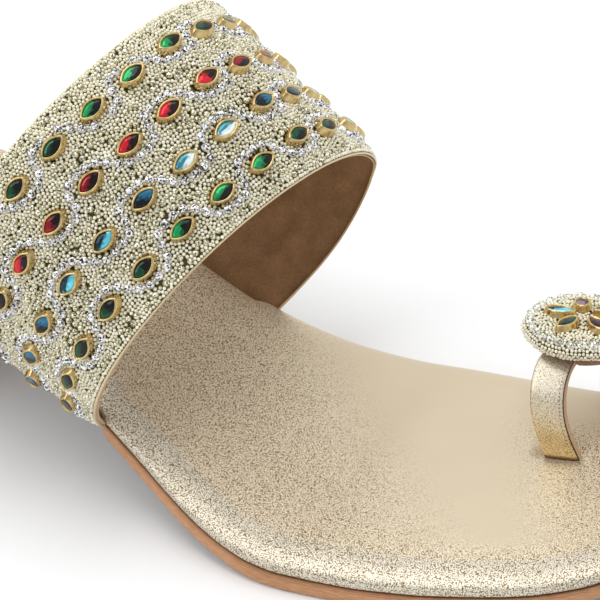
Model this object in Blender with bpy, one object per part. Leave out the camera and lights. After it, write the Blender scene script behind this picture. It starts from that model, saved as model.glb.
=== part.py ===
# Toe ring sandal for the right foot: a low block heel, a padded footbed, a wide instep band
# and a leather toe ring that carries a round padded medallion.
#
# Sizes are in millimetres and scaled by MM. The last's own frame has x from the back of the heel
# to the toe, y towards the big toe side and z up from the floor. The finished model is moved so
# that the middle of its box, on the floor, is the origin.

import math
from collections import namedtuple

import bmesh
import bpy
import numpy as np

MM = 0.001
GAP = 0.3                   # clearance left between neighbouring pieces

# Last and sole
LENGTH = 250.0              # heel back to toe tip
MIDDLE_Y = 1.05             # y of the middle of the sandal's box
HEEL_RISE = 32.0            # outsole's underside above the floor, at the heel seat
SEAT_END = 55.0             # the heel seat is level up to here
RISE_START = 168.0          # the waist starts to climb here
SPRING_START = 182.0        # the toe starts to lift here
TOE_SPRING = 10.5           # lift at the toe tip
HEEL_ROUND = 30.0           # length of the round end behind the heel
TOE_TIP_Y = 8.0             # the toe's round end closes at this y
INNER_TOE_START = 212.0     # where the big toe side starts to close
OUTER_TOE_START = 200.0     # where the little toe side starts to close
END_POWER = 2.25            # 2 is an ellipse, more is squarer

OUTSOLE_THICK = 4.4
OUTSOLE_BEVEL = 0.8
WAIST_INSET = 2.8           # outsole stands back from the outline under the band
WAIST_REACH = 1.0           # and starts to this far past the band's edges
SEAM_STEP = 0.3             # the footbed stands in from the outsole's edge
PAD_HEIGHT = 4.3            # crest of the padded edge above the seam
PAD_ROLL = 7.5              # width of the rolled edge
PAD_DISH = 0.9              # the middle of the footbed lies this much below its crest
TUCK = 1.6                  # footbed stands back from the outline where the band comes down
TUCK_FADE = 4.5             # length over which both step back
TUCK_REACH = 5.0            # the footbed's step starts this far past the band
SPINE_BACK = 34.0           # the footbed's dish runs between these two stations
SPINE_FRONT = 214.0

HEEL_BREAST = 49.0          # front face of the heel, at its top
HEEL_LEAN = 4.0             # the front face leans back by this much at the floor
HEEL_TOP_INSET = 1.2
HEEL_FLOOR_INSET = 3.6

# Instep band
BAND_WALL = 2.4
BAND_OUTSIDE = 0.6          # outer face starts this far outside the outline
BAND_DROP = 0.4             # and this far below the top of the outsole
BAND_SWELL = 2.2            # the band is fuller between its two edges
BAND_FLAT = 1.95            # and flatter past its crown, down the big toe side
BAND_BACK = 1.2             # its back edge is fuller before the crown
BAND_RECEDE = 1.0           # it stands back towards the heel past the crown
BAND_WRAP = 3.0             # both ends wrap down over the sole's edge, except at their corners

# Toe ring and medallion
RING_WIDTH = 8.7
RING_THICK = 2.0
RING_SOFTEN = 0.45
DISC_RADIUS = 14.7
DISC_THICK = 6.0            # at the crest of its dome
DISC_DOME = 1.5
DISC_CENTRE = (204.9, 37.0, 38.3)
DISC_LEAN = 5.5             # degrees that the medallion leans back to the heel
DISC_TILT = 10.6            # degrees that it leans to the big toe side

# Resolution
SOLE_STEPS = 64
BAND_ROUND = 52
BAND_ALONG = 9
RING_STEPS = 44
DISC_STEPS = 48

Station = namedtuple("Station", "x inner outer")
OUTLINE = [Station(*row) for row in (
    # x, big toe side, little toe side
    (0.0, 29.0, -29.0),
    (38.0, 29.6, -29.4),
    (60.0, 30.6, -31.3),
    (82.0, 29.7, -31.8),
    (104.0, 28.0, -33.4),
    (124.0, 28.4, -39.4),
    (142.0, 31.9, -45.8),
    (158.0, 36.5, -48.7),
    (176.0, 41.0, -46.6),
    (194.0, 44.3, -42.0),
    (210.0, 45.9, -37.2),
    (226.0, 46.2, -35.2),
    (250.0, 46.2, -35.2),
)]

# The band's two edges: where each end leaves the sole, and the shape of the arch between them
Edge = namedtuple("Edge", "outer_x inner_x height lean shift power belly")
FRONT_EDGE = Edge(outer_x=111.0, inner_x=124.1, height=68.0, lean=22.0, shift=0.30, power=2.0, belly=0.79)
BACK_EDGE = Edge(outer_x=61.0, inner_x=72.6, height=83.5, lean=25.0, shift=0.37, power=1.95, belly=0.80)

# The toe ring's outer face, from its slit beside the big toe over to the edge of the footbed
RingPoint = namedtuple("RingPoint", "x y z turn tip")
RING_PATH = [RingPoint(*row) for row in (
    # x, y, z, turn of the strap's width in plan, tip of its front edge
    (209.2, 16.2, 10.4, 9, 7),
    (207.1, 15.9, 15.7, 4, 7),
    (204.6, 17.5, 21.0, 2, 8),
    (203.0, 20.7, 26.3, 2, 7),
    (202.6, 25.6, 30.4, 5, 6),
    (203.8, 31.5, 32.3, 5, 6),
    (205.6, 38.0, 31.2, 4, 5),
    (208.9, 45.2, 25.8, 1, 4),
    (211.3, 49.2, 17.0, -2, 2),
    (212.0, 48.6, 6.4, -3, 0),
)]


def ease(t):
    t = min(max(t, 0.0), 1.0)
    return t * t * (3.0 - 2.0 * t)


def lerp(a, b, t):
    return a + (b - a) * t


def read_table(rows, column, x, key="x"):
    """Smooth curve through one column of a table, read at x."""
    xs = np.array([getattr(row, key) for row in rows], float)
    ys = np.array([getattr(row, column) for row in rows], float)
    slopes = np.gradient(ys, xs)
    i = int(np.clip(np.searchsorted(xs, x) - 1, 0, len(xs) - 2))
    span = xs[i + 1] - xs[i]
    t = (x - xs[i]) / span
    a, b = ys[i], ys[i + 1]
    ta, tb = slopes[i] * span, slopes[i + 1] * span
    return ((2 * t**3 - 3 * t**2 + 1) * a + (t**3 - 2 * t**2 + t) * ta
            + (3 * t**2 - 2 * t**3) * b + (t**3 - t**2) * tb)


# ---------------------------------------------------------------- the last

def round_end(t):
    """1 at the start of a round end, 0 at its tip."""
    t = min(max(t, 0.0), 1.0)
    return (1.0 - t**END_POWER) ** (1.0 / END_POWER)


def edge_y(x, side):
    """The sole's outline at x, on the side "inner" or "outer"."""
    toe_start = INNER_TOE_START if side == "inner" else OUTER_TOE_START
    y = read_table(OUTLINE, side, x)
    if x < HEEL_ROUND:
        return y * round_end((HEEL_ROUND - x) / HEEL_ROUND)
    if x > toe_start:
        return TOE_TIP_Y + (y - TOE_TIP_Y) * round_end((x - toe_start) / (LENGTH - toe_start))
    return y


def seam_height(x):
    """Top of the outsole above the floor: level seat, waist, flat tread and toe spring."""
    waist = HEEL_RISE * ease((RISE_START - x) / (RISE_START - SEAT_END))
    spring = TOE_SPRING * max(0.0, (x - SPRING_START) / (LENGTH - SPRING_START)) ** 2
    return OUTSOLE_THICK + waist + spring


def band_ends(side):
    """Where the band's back and front edges leave the sole, on one side."""
    column = side + "_x"
    return getattr(BACK_EDGE, column), getattr(FRONT_EDGE, column)


def under_band(x, side, reach):
    """1 where the band comes down beside the sole, easing to 0 at reach past its two edges."""
    back, front = band_ends(side)
    return ease((x - back + reach) / TUCK_FADE) * ease((front + reach - x) / TUCK_FADE)


def stations():
    """x of each section: closer at the round ends, with one at each change of the profile."""
    marks = [SEAT_END, RISE_START, SPRING_START]
    for side in ("outer", "inner"):
        for x, out in zip(band_ends(side), (-1, 1)):
            marks += [x + TUCK_REACH * out, x + TUCK_REACH * 0.5 * out, x, x - TUCK_FADE * out]
    even = [LENGTH * 0.5 * (1.0 - math.cos(math.pi * i / SOLE_STEPS)) for i in range(SOLE_STEPS + 1)]
    return sorted(marks + [x for x in even if min(abs(x - mark) for mark in marks) > 1.5])


def outline_loop():
    """The outline as one loop: heel back, little toe side, toe tip, big toe side."""
    xs = stations()
    outer = [(x, edge_y(x, "outer"), "outer") for x in xs]
    inner = [(x, edge_y(x, "inner"), "inner") for x in reversed(xs[1:-1])]
    return outer + inner


def inset_loop(loop, inset):
    """Plan points of the loop, moved inwards by inset(x, side)."""
    count = len(loop)
    points = []
    for i, (x, y, side) in enumerate(loop):
        ahead, behind = loop[(i + 1) % count], loop[i - 1]
        tangent = np.array([ahead[0] - behind[0], ahead[1] - behind[1]])
        tangent /= np.linalg.norm(tangent)
        inward = np.array([-tangent[1], tangent[0]])
        points.append(np.array([x, y]) + inward * inset(x, side))
    return points


def towards_spine(points, amount):
    """Move each plan point part of the way to the line that runs down the middle."""
    count = len(points)
    moved = []
    for i, point in enumerate(points):
        middle = 0.5 * (point + points[(count - i) % count])
        middle[0] = min(max(middle[0], SPINE_BACK), SPINE_FRONT)
        moved.append(lerp(point, middle, amount))
    return moved


# ---------------------------------------------------------------- mesh helpers

def add_ring(bm, points):
    return [bm.verts.new(point) for point in points]


def bridge(bm, lower, upper):
    count = len(lower)
    for i in range(count):
        j = (i + 1) % count
        bm.faces.new((lower[i], lower[j], upper[j], upper[i]))


def cap_across(bm, ring):
    """Close a ring with strips between its two sides."""
    count = len(ring)
    half = count // 2
    bm.faces.new((ring[0], ring[1], ring[count - 1]))
    for i in range(1, half - 1):
        bm.faces.new((ring[i], ring[i + 1], ring[count - i - 1], ring[count - i]))
    bm.faces.new((ring[half - 1], ring[half], ring[half + 1]))


def finish_object(name, bm, finish, smooth_below=35.0):
    """Turn a bmesh in millimetres into a named object in metres about the model's origin."""
    bmesh.ops.translate(bm, verts=bm.verts, vec=(-LENGTH / 2, -MIDDLE_Y, 0.0))
    bmesh.ops.scale(bm, verts=bm.verts, vec=(MM, MM, MM))
    bmesh.ops.recalc_face_normals(bm, faces=bm.faces)
    bmesh.ops.triangulate(bm, faces=bm.faces)
    mesh = bpy.data.meshes.new(name)
    bm.to_mesh(mesh)
    bm.free()
    mesh.shade_smooth()
    mesh.set_sharp_from_angle(angle=math.radians(smooth_below))
    mesh.materials.append(finish)
    piece = bpy.data.objects.new(name, mesh)
    bpy.context.collection.objects.link(piece)
    return piece


def make_finish(name, colour, roughness, metallic=0.0):
    finish = bpy.data.materials.new(name)
    finish.use_nodes = True
    shader = finish.node_tree.nodes["Principled BSDF"]
    shader.inputs["Base Color"].default_value = (*colour, 1.0)
    shader.inputs["Roughness"].default_value = roughness
    shader.inputs["Metallic"].default_value = metallic
    return finish


# ---------------------------------------------------------------- sole

def build_outsole():
    loop = outline_loop()
    layers = (                      # height from the seam, extra inset
        (-OUTSOLE_THICK, OUTSOLE_BEVEL),
        (-OUTSOLE_THICK + OUTSOLE_BEVEL, 0.0),
        (0.0, 0.0),
    )
    bm = bmesh.new()
    rings = []
    for height, extra in layers:
        plan = inset_loop(loop, lambda x, side: extra + WAIST_INSET * under_band(x, side, WAIST_REACH))
        rings.append(add_ring(bm, [(x, y, seam_height(x) + height) for x, y in plan]))
    for lower, upper in zip(rings, rings[1:]):
        bridge(bm, lower, upper)
    cap_across(bm, rings[0])
    cap_across(bm, rings[-1])
    return finish_object("outsole", bm, make_finish("tan_sole_edge", (0.48, 0.25, 0.13), 0.55))


def build_footbed():
    loop = outline_loop()
    bm = bmesh.new()
    rings = []

    def plan_ring(plan, height):
        rings.append(add_ring(bm, [(x, y, seam_height(x) + GAP + height) for x, y in plan]))

    def edge_inset(extra):
        return inset_loop(loop, lambda x, side: SEAM_STEP + extra + TUCK * under_band(x, side, TUCK_REACH))

    plan_ring(edge_inset(0.9), 0.0)
    plan_ring(edge_inset(0.1), 1.0)
    roll_steps = 5
    for i in range(roll_steps + 1):
        angle = math.radians(90.0) * i / roll_steps
        plan_ring(edge_inset(PAD_ROLL * (1.0 - math.cos(angle))), 2.0 + (PAD_HEIGHT - 2.0) * math.sin(angle))
    crest = edge_inset(PAD_ROLL)
    for amount, dish in ((0.22, 0.35), (0.5, 0.8), (0.78, 1.0)):
        plan_ring(towards_spine(crest, amount), PAD_HEIGHT - PAD_DISH * dish)
    for lower, upper in zip(rings, rings[1:]):
        bridge(bm, lower, upper)
    cap_across(bm, rings[0])
    cap_across(bm, rings[-1])
    return finish_object("footbed", bm, make_finish("champagne_leather", (0.66, 0.55, 0.38), 0.38, 0.55))


def heel_ring(height):
    """D-shaped section of the heel: round back, flat front face."""
    level = height / HEEL_RISE
    breast = HEEL_BREAST - HEEL_LEAN * (1.0 - level)
    inset = lerp(HEEL_FLOOR_INSET, HEEL_TOP_INSET, level ** 0.8)
    plan = inset_loop(outline_loop(), lambda x, side: inset)
    half = len(plan) // 2
    outer = [p for p in plan[:half] if p[0] < breast - 2.0]
    inner = [p for p in plan[half:] if p[0] < breast - 2.0]
    outer_end = np.interp(breast, [p[0] for p in plan[:half]], [p[1] for p in plan[:half]])
    inner_side = plan[:half - 1:-1]
    inner_end = np.interp(breast, [p[0] for p in inner_side], [p[1] for p in inner_side])
    path = [(breast, inner_end)] + [tuple(p) for p in inner] + [tuple(p) for p in outer] + [(breast, outer_end)]
    return resample(path, 41)


def resample(path, count):
    """The same open path, with its points evenly spaced."""
    path = np.array(path, float)
    run = np.concatenate([[0.0], np.cumsum(np.linalg.norm(np.diff(path, axis=0), axis=1))])
    marks = np.linspace(0.0, run[-1], count)
    return np.column_stack([np.interp(marks, run, path[:, axis]) for axis in range(path.shape[1])])


def build_heel():
    top = HEEL_RISE - GAP
    bm = bmesh.new()
    rings = [add_ring(bm, [(x, y, z) for x, y in heel_ring(z)]) for z in np.linspace(0.0, top, 7)]
    for lower, upper in zip(rings, rings[1:]):
        bridge(bm, lower, upper)
    bm.faces.new(rings[0])
    bm.faces.new(rings[-1])
    return finish_object("heel", bm, make_finish("tan_heel", (0.42, 0.22, 0.12), 0.5))


# ---------------------------------------------------------------- instep band

def band_point(u, v):
    """Outer face of the band: u from the little toe side over the instep, v from front edge to back."""
    edge = Edge(*(lerp(a, b, v) for a, b in zip(FRONT_EDGE, BACK_EDGE)))
    ends = []
    for x, side, outwards in ((edge.outer_x, "outer", -1.0), (edge.inner_x, "inner", 1.0)):
        ends.append(np.array([x, edge_y(x, side) + outwards * BAND_OUTSIDE, seam_height(x) - BAND_DROP]))
    across = ends[1] - ends[0]
    half = np.linalg.norm(across) / 2.0
    across /= 2.0 * half
    upright = np.array([0.0, 0.0, 1.0]) - across * across[2]
    upright /= np.linalg.norm(upright)
    forward = np.cross(across, upright)
    lean = math.radians(edge.lean)
    rise = math.cos(lean) * upright + math.sin(lean) * forward

    angle = lerp(-edge.belly, math.pi + edge.belly, u)
    power = 2.0 / edge.power
    wide = math.copysign(abs(math.cos(angle)) ** power, math.cos(angle)) / math.cos(edge.belly) ** power
    foot = math.sin(edge.belly) ** power
    tall = (math.copysign(abs(math.sin(angle)) ** power, math.sin(angle)) + foot) / (1.0 + foot)
    swell = BAND_SWELL * 4.0 * v * (1.0 - v) * math.sin(math.pi * u)
    past_crown = ease((u - 0.5) / 0.14) * ease((1.0 - u) / 0.2)
    swell -= BAND_FLAT * past_crown * ease((v - 0.12) / 0.3) * ease((1.0 - v) / 0.25)
    swell += BAND_BACK * v**2 * ease(u / 0.2) * ease((0.5 - u) / 0.2)
    sideways = half * (edge.shift * tall - wide) - swell * math.cos(math.pi * u)
    height = edge.height * tall + swell * math.sin(math.pi * u)
    point = (ends[0] + ends[1]) / 2.0 + across * sideways + rise * height
    point[0] -= BAND_RECEDE * ease((u - 0.68) / 0.08) * ease((0.92 - u) / 0.14)
    point[2] -= BAND_WRAP * ease(v / 0.13) * ease((1.0 - v) / 0.13) * (1.0 - ease(min(u, 1.0 - u) / 0.07))
    return point


def band_normal(u, v):
    step = 0.002
    along_u = band_point(min(u + step, 1.0), v) - band_point(max(u - step, 0.0), v)
    along_v = band_point(u, min(v + step, 1.0)) - band_point(u, max(v - step, 0.0))
    normal = np.cross(along_u, along_v)
    return normal / np.linalg.norm(normal)


def build_band():
    bm = bmesh.new()
    outer, lining = [], []
    for j in range(BAND_ALONG + 1):
        v = j / BAND_ALONG
        outer_row, lining_row = [], []
        for i in range(BAND_ROUND + 1):
            u = i / BAND_ROUND
            point = band_point(u, v)
            outer_row.append(bm.verts.new(point))
            lining_row.append(bm.verts.new(point - BAND_WALL * band_normal(u, v)))
        outer.append(outer_row)
        lining.append(lining_row)
    for grid in (outer, lining):
        for row, ahead in zip(grid, grid[1:]):
            for i in range(BAND_ROUND):
                bm.faces.new((row[i], row[i + 1], ahead[i + 1], ahead[i]))
    for j in (0, BAND_ALONG):
        for i in range(BAND_ROUND):
            bm.faces.new((outer[j][i], outer[j][i + 1], lining[j][i + 1], lining[j][i]))
    for i in (0, BAND_ROUND):
        for j in range(BAND_ALONG):
            bm.faces.new((outer[j][i], outer[j + 1][i], lining[j + 1][i], lining[j][i]))
    return finish_object("instep_band", bm, make_finish("beaded_cloth", (0.72, 0.68, 0.55), 0.5))


# ---------------------------------------------------------------- toe ring and medallion

def ring_frame(t):
    """Centre of the strap, its width direction and its outward direction at t from 0 to 1."""
    place = t * (len(RING_PATH) - 1)
    numbered = [RingStep(k, *row) for k, row in enumerate(RING_PATH)]

    def value(column, at):
        return read_table(numbered, column, at, key="order")

    def spot(at):
        return np.array([value(axis, at) for axis in "xyz"])

    tangent = spot(place + 0.02) - spot(place - 0.02)
    tangent /= np.linalg.norm(tangent)
    turn, tip = math.radians(value("turn", place)), math.radians(value("tip", place))
    width = np.array([math.cos(turn) * math.cos(tip), math.sin(turn) * math.cos(tip), math.sin(tip)])
    outward = np.cross(width, tangent)
    outward /= np.linalg.norm(outward)
    return spot(place) - outward * RING_THICK / 2.0, width, outward


RingStep = namedtuple("RingStep", ("order",) + RingPoint._fields)


def build_toe_ring():
    half_w, half_t, soft = RING_WIDTH / 2.0, RING_THICK / 2.0, RING_SOFTEN
    section = (
        (half_w - soft, half_t), (half_w, half_t - soft), (half_w, soft - half_t), (half_w - soft, -half_t),
        (soft - half_w, -half_t), (-half_w, soft - half_t), (-half_w, half_t - soft), (soft - half_w, half_t),
    )
    bm = bmesh.new()
    rings = []
    for i in range(RING_STEPS + 1):
        centre, width, outward = ring_frame(i / RING_STEPS)
        rings.append(add_ring(bm, [centre + width * a + outward * b for a, b in section]))
    for lower, upper in zip(rings, rings[1:]):
        bridge(bm, lower, upper)
    bm.faces.new(rings[0])
    bm.faces.new(rings[-1])
    return finish_object("toe_ring", bm, make_finish("gold_leather", (0.70, 0.56, 0.33), 0.35, 0.6))


def build_medallion():
    lean, tilt = math.radians(DISC_LEAN), math.radians(DISC_TILT)
    normal = np.array([-math.tan(lean), math.tan(tilt), 1.0])
    normal /= np.linalg.norm(normal)
    along = np.array([1.0, 0.0, 0.0]) - normal * normal[0]
    along /= np.linalg.norm(along)
    across = np.cross(normal, along)
    profile = (                     # radius, height below the crest of the dome
        (DISC_RADIUS - 2.6, DISC_THICK), (DISC_RADIUS - 0.9, DISC_THICK - 1.0), (DISC_RADIUS, DISC_THICK - 2.4),
        (DISC_RADIUS - 0.2, DISC_DOME + 0.9), (DISC_RADIUS - 1.1, DISC_DOME + 0.1),
        (DISC_RADIUS * 0.66, DISC_DOME * 0.5), (DISC_RADIUS * 0.33, DISC_DOME * 0.12),
    )
    bm = bmesh.new()
    rings = []
    for radius, below in profile:
        turns = [2.0 * math.pi * i / DISC_STEPS for i in range(DISC_STEPS)]
        rings.append(add_ring(bm, [
            np.array(DISC_CENTRE) - normal * below + radius * (along * math.cos(a) + across * math.sin(a))
            for a in turns]))
    for lower, upper in zip(rings, rings[1:]):
        bridge(bm, lower, upper)
    bm.faces.new(rings[0])
    bm.faces.new(rings[-1])
    return finish_object("medallion", bm, make_finish("beaded_medallion", (0.72, 0.68, 0.55), 0.5))


def main():
    for old in list(bpy.data.objects):
        bpy.data.objects.remove(old, do_unlink=True)
    build_outsole()
    build_heel()
    build_footbed()
    build_band()
    build_toe_ring()
    build_medallion()


main()
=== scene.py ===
import math

import bmesh
import bpy
import numpy as np
from mathutils import Matrix, Vector, kdtree


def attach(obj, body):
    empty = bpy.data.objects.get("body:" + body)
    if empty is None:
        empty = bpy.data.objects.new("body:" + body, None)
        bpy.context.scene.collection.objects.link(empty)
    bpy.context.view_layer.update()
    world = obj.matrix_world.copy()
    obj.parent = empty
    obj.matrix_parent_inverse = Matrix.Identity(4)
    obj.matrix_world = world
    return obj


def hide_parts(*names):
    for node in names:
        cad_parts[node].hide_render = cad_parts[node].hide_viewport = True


# Toe ring sandal, right foot. Shapes are worked out in millimetres in the last's own frame:
# x from the back of the heel to the toe, y towards the big toe side, z up from the floor.
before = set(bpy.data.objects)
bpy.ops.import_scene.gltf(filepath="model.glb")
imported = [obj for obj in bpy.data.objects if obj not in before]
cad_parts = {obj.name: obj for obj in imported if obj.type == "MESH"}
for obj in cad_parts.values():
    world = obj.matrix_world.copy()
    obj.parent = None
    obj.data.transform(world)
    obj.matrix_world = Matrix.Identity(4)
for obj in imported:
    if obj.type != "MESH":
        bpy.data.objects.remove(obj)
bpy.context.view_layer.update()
mm = 0.001
draws = np.random.default_rng(11)   # one stream of random draws, always in the same order

# camera, light and floor

view = {
    "turn": 27.56,          # degrees round from the little toe side
    "rise": 37.59,          # degrees above the floor
    "away": 908.6,          # mm from the point looked at
    "lookAt": (127.33, 36.57, 15.0),
    "lens": 214.3,
}
last = {
    "length": 250.0, "middleY": 1.05, "heelRise": 32.0, "seatEnd": 55.0, "riseStart": 168.0,
    "springStart": 182.0, "toeSpring": 10.5, "heelRound": 30.0, "toeTipY": 8.0,
    "toeStart": {"inner": 212.0, "outer": 200.0}, "endPower": 2.25, "soleThick": 4.4,
}
origin = np.array([last["length"] / 2, last["middleY"], 0.0])


def hexColour(code):
    # sRGB hex to the linear colour a shader takes
    channels = [int(code[i:i + 2], 16) / 255 for i in (1, 3, 5)]
    return tuple(c / 12.92 if c <= 0.04045 else ((c + 0.055) / 1.055) ** 2.4 for c in channels) + (1.0,)


def addNode(tree, kind, settings=None, links=None, out=0, **options):
    # adds a node and gives back the output that the next node takes
    node = tree.nodes.new("ShaderNode" + kind)
    for option, value in options.items():
        setattr(node, option, value)
    for socket, value in (settings or {}).items():
        node.inputs[socket].default_value = value
    for socket, source in (links or {}).items():
        tree.links.new(source, node.inputs[socket])
    return node.outputs[out]


colourMix = {"out": 2, "data_type": "RGBA"}     # what makes a mix node mix colours


def placeCamera():
    turn, rise = math.radians(view["turn"]), math.radians(view["rise"])
    back = Vector((math.sin(turn) * math.cos(rise), -math.cos(turn) * math.cos(rise), math.sin(rise)))
    right = Vector((math.cos(turn), math.sin(turn), 0.0))
    target = Vector((np.array(view["lookAt"]) - origin) * mm)
    data = bpy.data.cameras.new("productCamera")
    data.lens = view["lens"]
    data.sensor_width = 36.0
    camera = bpy.data.objects.new("productCamera", data)
    bpy.context.scene.collection.objects.link(camera)
    turned = Matrix((right, back.cross(right), back)).transposed().to_4x4()
    camera.matrix_world = Matrix.Translation(target + back * view["away"] * mm) @ turned
    bpy.context.scene.camera = camera


studio = {
    "softboxes": {          # place in metres and power in watts
        "key": ((-0.22, 0.02, 1.05), 4.3),
        "fill": ((-0.95, -0.75, 0.75), 5.3),
    },
    "softboxSize": 0.8, "aimAt": (0.0, 0.0, 0.03), "floorSize": 5.0,
    "floor": "#EFF0F1", "ceiling": "#FFFFFF", "front": "#C9C9C9",
}


def lightStudio():
    scene = bpy.context.scene
    for name, (place, power) in studio["softboxes"].items():
        data = bpy.data.lights.new(name + "Softbox", "AREA")
        data.shape = "SQUARE"
        data.size = studio["softboxSize"]
        data.energy = power
        lamp = bpy.data.objects.new(name + "Softbox", data)
        scene.collection.objects.link(lamp)
        lamp.location = place
        lamp.rotation_euler = (Vector(studio["aimAt"]) - lamp.location).to_track_quat("-Z", "Y").to_euler()

    world = bpy.data.worlds.new("paleStudio")
    world.use_nodes = True
    tree = world.node_tree
    direction = addNode(tree, "TexCoord", out="Generated")
    away = addNode(tree, "SeparateXYZ", None, {0: direction}, out="Y")
    # the side where one stands is dimmer than the ceiling and the back
    front = addNode(tree, "MapRange", {1: -0.75, 2: 0.05, 3: 1.0, 4: 0.0}, {0: away},
                    interpolation_type="SMOOTHSTEP")
    sky = addNode(tree, "Mix", {6: hexColour(studio["ceiling"]), 7: hexColour(studio["front"])}, {0: front},
                  **colourMix)
    tree.links.new(sky, tree.nodes["Background"].inputs["Color"])
    scene.world = world
    scene.view_settings.view_transform = "Standard"

    mesh = bpy.data.meshes.new("studioFloor")
    half = studio["floorSize"] / 2
    corners = [(-half, -half, 0.0), (half, -half, 0.0), (half, half, 0.0), (-half, half, 0.0)]
    mesh.from_pydata(corners, [], [(0, 1, 2, 3)])
    floor = bpy.data.objects.new("studio_floor", mesh)
    scene.collection.objects.link(floor)
    # no sheen, so shadows stay soft and grey
    mesh.materials.append(startMaterial("mattSeamlessPaper", {"Base Color": hexColour(studio["floor"]),
                                                              "Roughness": 0.9})[0])


def startMaterial(name, settings):
    material = bpy.data.materials.new(name)
    material.use_nodes = True
    tree = material.node_tree
    for socket, value in settings.items():
        tree.nodes["Principled BSDF"].inputs[socket].default_value = value
    return material, tree


placeCamera()
lightStudio()
print("camera, lights and floor ready")

# the last: outline in plan, height of the seam between sole and footbed, and the arch over the instep

outlineTable = np.array([
    # x, big toe side, little toe side
    (0.0, 29.0, -29.0), (38.0, 29.6, -29.4), (60.0, 30.6, -31.3), (82.0, 29.7, -31.8),
    (104.0, 28.0, -33.4), (124.0, 28.4, -39.4), (142.0, 31.9, -45.8), (158.0, 36.5, -48.7),
    (176.0, 41.0, -46.6), (194.0, 44.3, -42.0), (210.0, 45.9, -37.2), (226.0, 46.2, -35.2),
    (250.0, 46.2, -35.2),
])
bandEdges = {
    # front edge, back edge: where each end leaves the sole, and the shape of the arch
    "outerX": (111.0, 61.0), "innerX": (124.1, 72.6), "height": (68.0, 83.5), "lean": (22.0, 25.0),
    "shift": (0.30, 0.37), "power": (2.0, 1.95), "belly": (0.79, 0.80),
}
bandForm = {
    "outside": 0.6, "drop": 0.4,        # mm outside the sole and below the seam where it starts
    "swell": 2.2,                       # mm fuller in the middle
    "flat": 1.95,                       # mm flatter past the crown
    "back": 1.2,                        # mm fuller at the back edge
    "recede": 1.0,                      # mm that it stands back past the crown
    "wrap": 3.0, "wrapFoot": 0.07,      # mm down over the sole's edge, and the share of the arch that does so
    # where these come and go, along the arch (U) or across it (V): from, to, easing in, easing out
    "flatU": (0.5, 1.0, 0.14, 0.2), "flatV": (0.12, 1.0, 0.3, 0.25), "backU": (0.0, 0.5, 0.2, 0.2),
    "recedeU": (0.68, 0.92, 0.08, 0.14), "wrapV": (0.0, 1.0, 0.13, 0.13),
}


def ease(t):
    t = np.clip(t, 0.0, 1.0)
    return t * t * (3.0 - 2.0 * t)


def between(x, low, high, easeIn, easeOut):
    # 1 between two places, easing in and out at them
    return ease((x - low) / easeIn) * ease((high - x) / easeOut)


def lerp(a, b, t):
    return a + (b - a) * t


def unit(vectors):
    return vectors / np.linalg.norm(vectors, axis=-1, keepdims=True)


def pairs(a, b):
    return np.stack(np.broadcast_arrays(a, b), -1)


def runOf(points):
    # the distance covered along a row of points
    return np.concatenate([[0.0], np.cumsum(np.linalg.norm(np.diff(points, axis=0), axis=1))])


def readAt(marks, run, values):
    # the values at these distances along a row
    return np.column_stack([np.interp(marks, run, column) for column in values.T])


def smoothRead(xs, ys, x):
    # smooth curve through a table's column
    xs, ys, x = np.asarray(xs, float), np.asarray(ys, float), np.asarray(x, float)
    slopes = np.gradient(ys, xs)
    i = np.clip(np.searchsorted(xs, x) - 1, 0, len(xs) - 2)
    span = xs[i + 1] - xs[i]
    t = (x - xs[i]) / span
    return ((2 * t**3 - 3 * t**2 + 1) * ys[i] + (t**3 - 2 * t**2 + t) * slopes[i] * span
            + (3 * t**2 - 2 * t**3) * ys[i + 1] + (t**3 - t**2) * slopes[i + 1] * span)


def roundEnd(t):
    return (1.0 - np.clip(t, 0.0, 1.0) ** last["endPower"]) ** (1.0 / last["endPower"])


def edgeY(x, side):
    x = np.asarray(x, float)
    y = smoothRead(outlineTable[:, 0], outlineTable[:, 1 if side == "inner" else 2], x)
    start, tip = last["toeStart"][side], last["toeTipY"]
    heelEnd = y * roundEnd((last["heelRound"] - x) / last["heelRound"])
    toeEnd = tip + (y - tip) * roundEnd((x - start) / (last["length"] - start))
    return np.where(x < last["heelRound"], heelEnd, np.where(x > start, toeEnd, y))


def seamHeight(x):
    x = np.asarray(x, float)
    waist = last["heelRise"] * ease((last["riseStart"] - x) / (last["riseStart"] - last["seatEnd"]))
    lift = np.maximum(0.0, (x - last["springStart"]) / (last["length"] - last["springStart"]))
    return last["soleThick"] + waist + last["toeSpring"] * lift ** 2


def underBand(x, outer, reach, fade=4.5):
    # 1 beside the band's two feet and this far past their edges
    front, back = (np.where(outer, bandEdges["outerX"][k], bandEdges["innerX"][k]) for k in (0, 1))
    return between(x, back - reach, front + reach, fade, fade)


def soleLoop(steps=250):
    # the outline in plan: heel back, little toe side, toe tip, big toe side
    xs = last["length"] * 0.5 * (1.0 - np.cos(np.pi * np.arange(steps + 1) / steps))
    x = np.concatenate([xs, xs[-2:0:-1]])
    y = np.concatenate([edgeY(xs, "outer"), edgeY(xs[-2:0:-1], "inner")])
    return np.column_stack([x, y]), np.arange(len(x)) <= steps


def inwardOf(plan):
    along = unit(np.roll(plan, -1, axis=0) - np.roll(plan, 1, axis=0))
    return np.column_stack([-along[:, 1], along[:, 0]])


def insetLoop(plan, inset):
    return plan + inwardOf(plan) * np.broadcast_to(inset, len(plan))[:, None]


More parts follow.
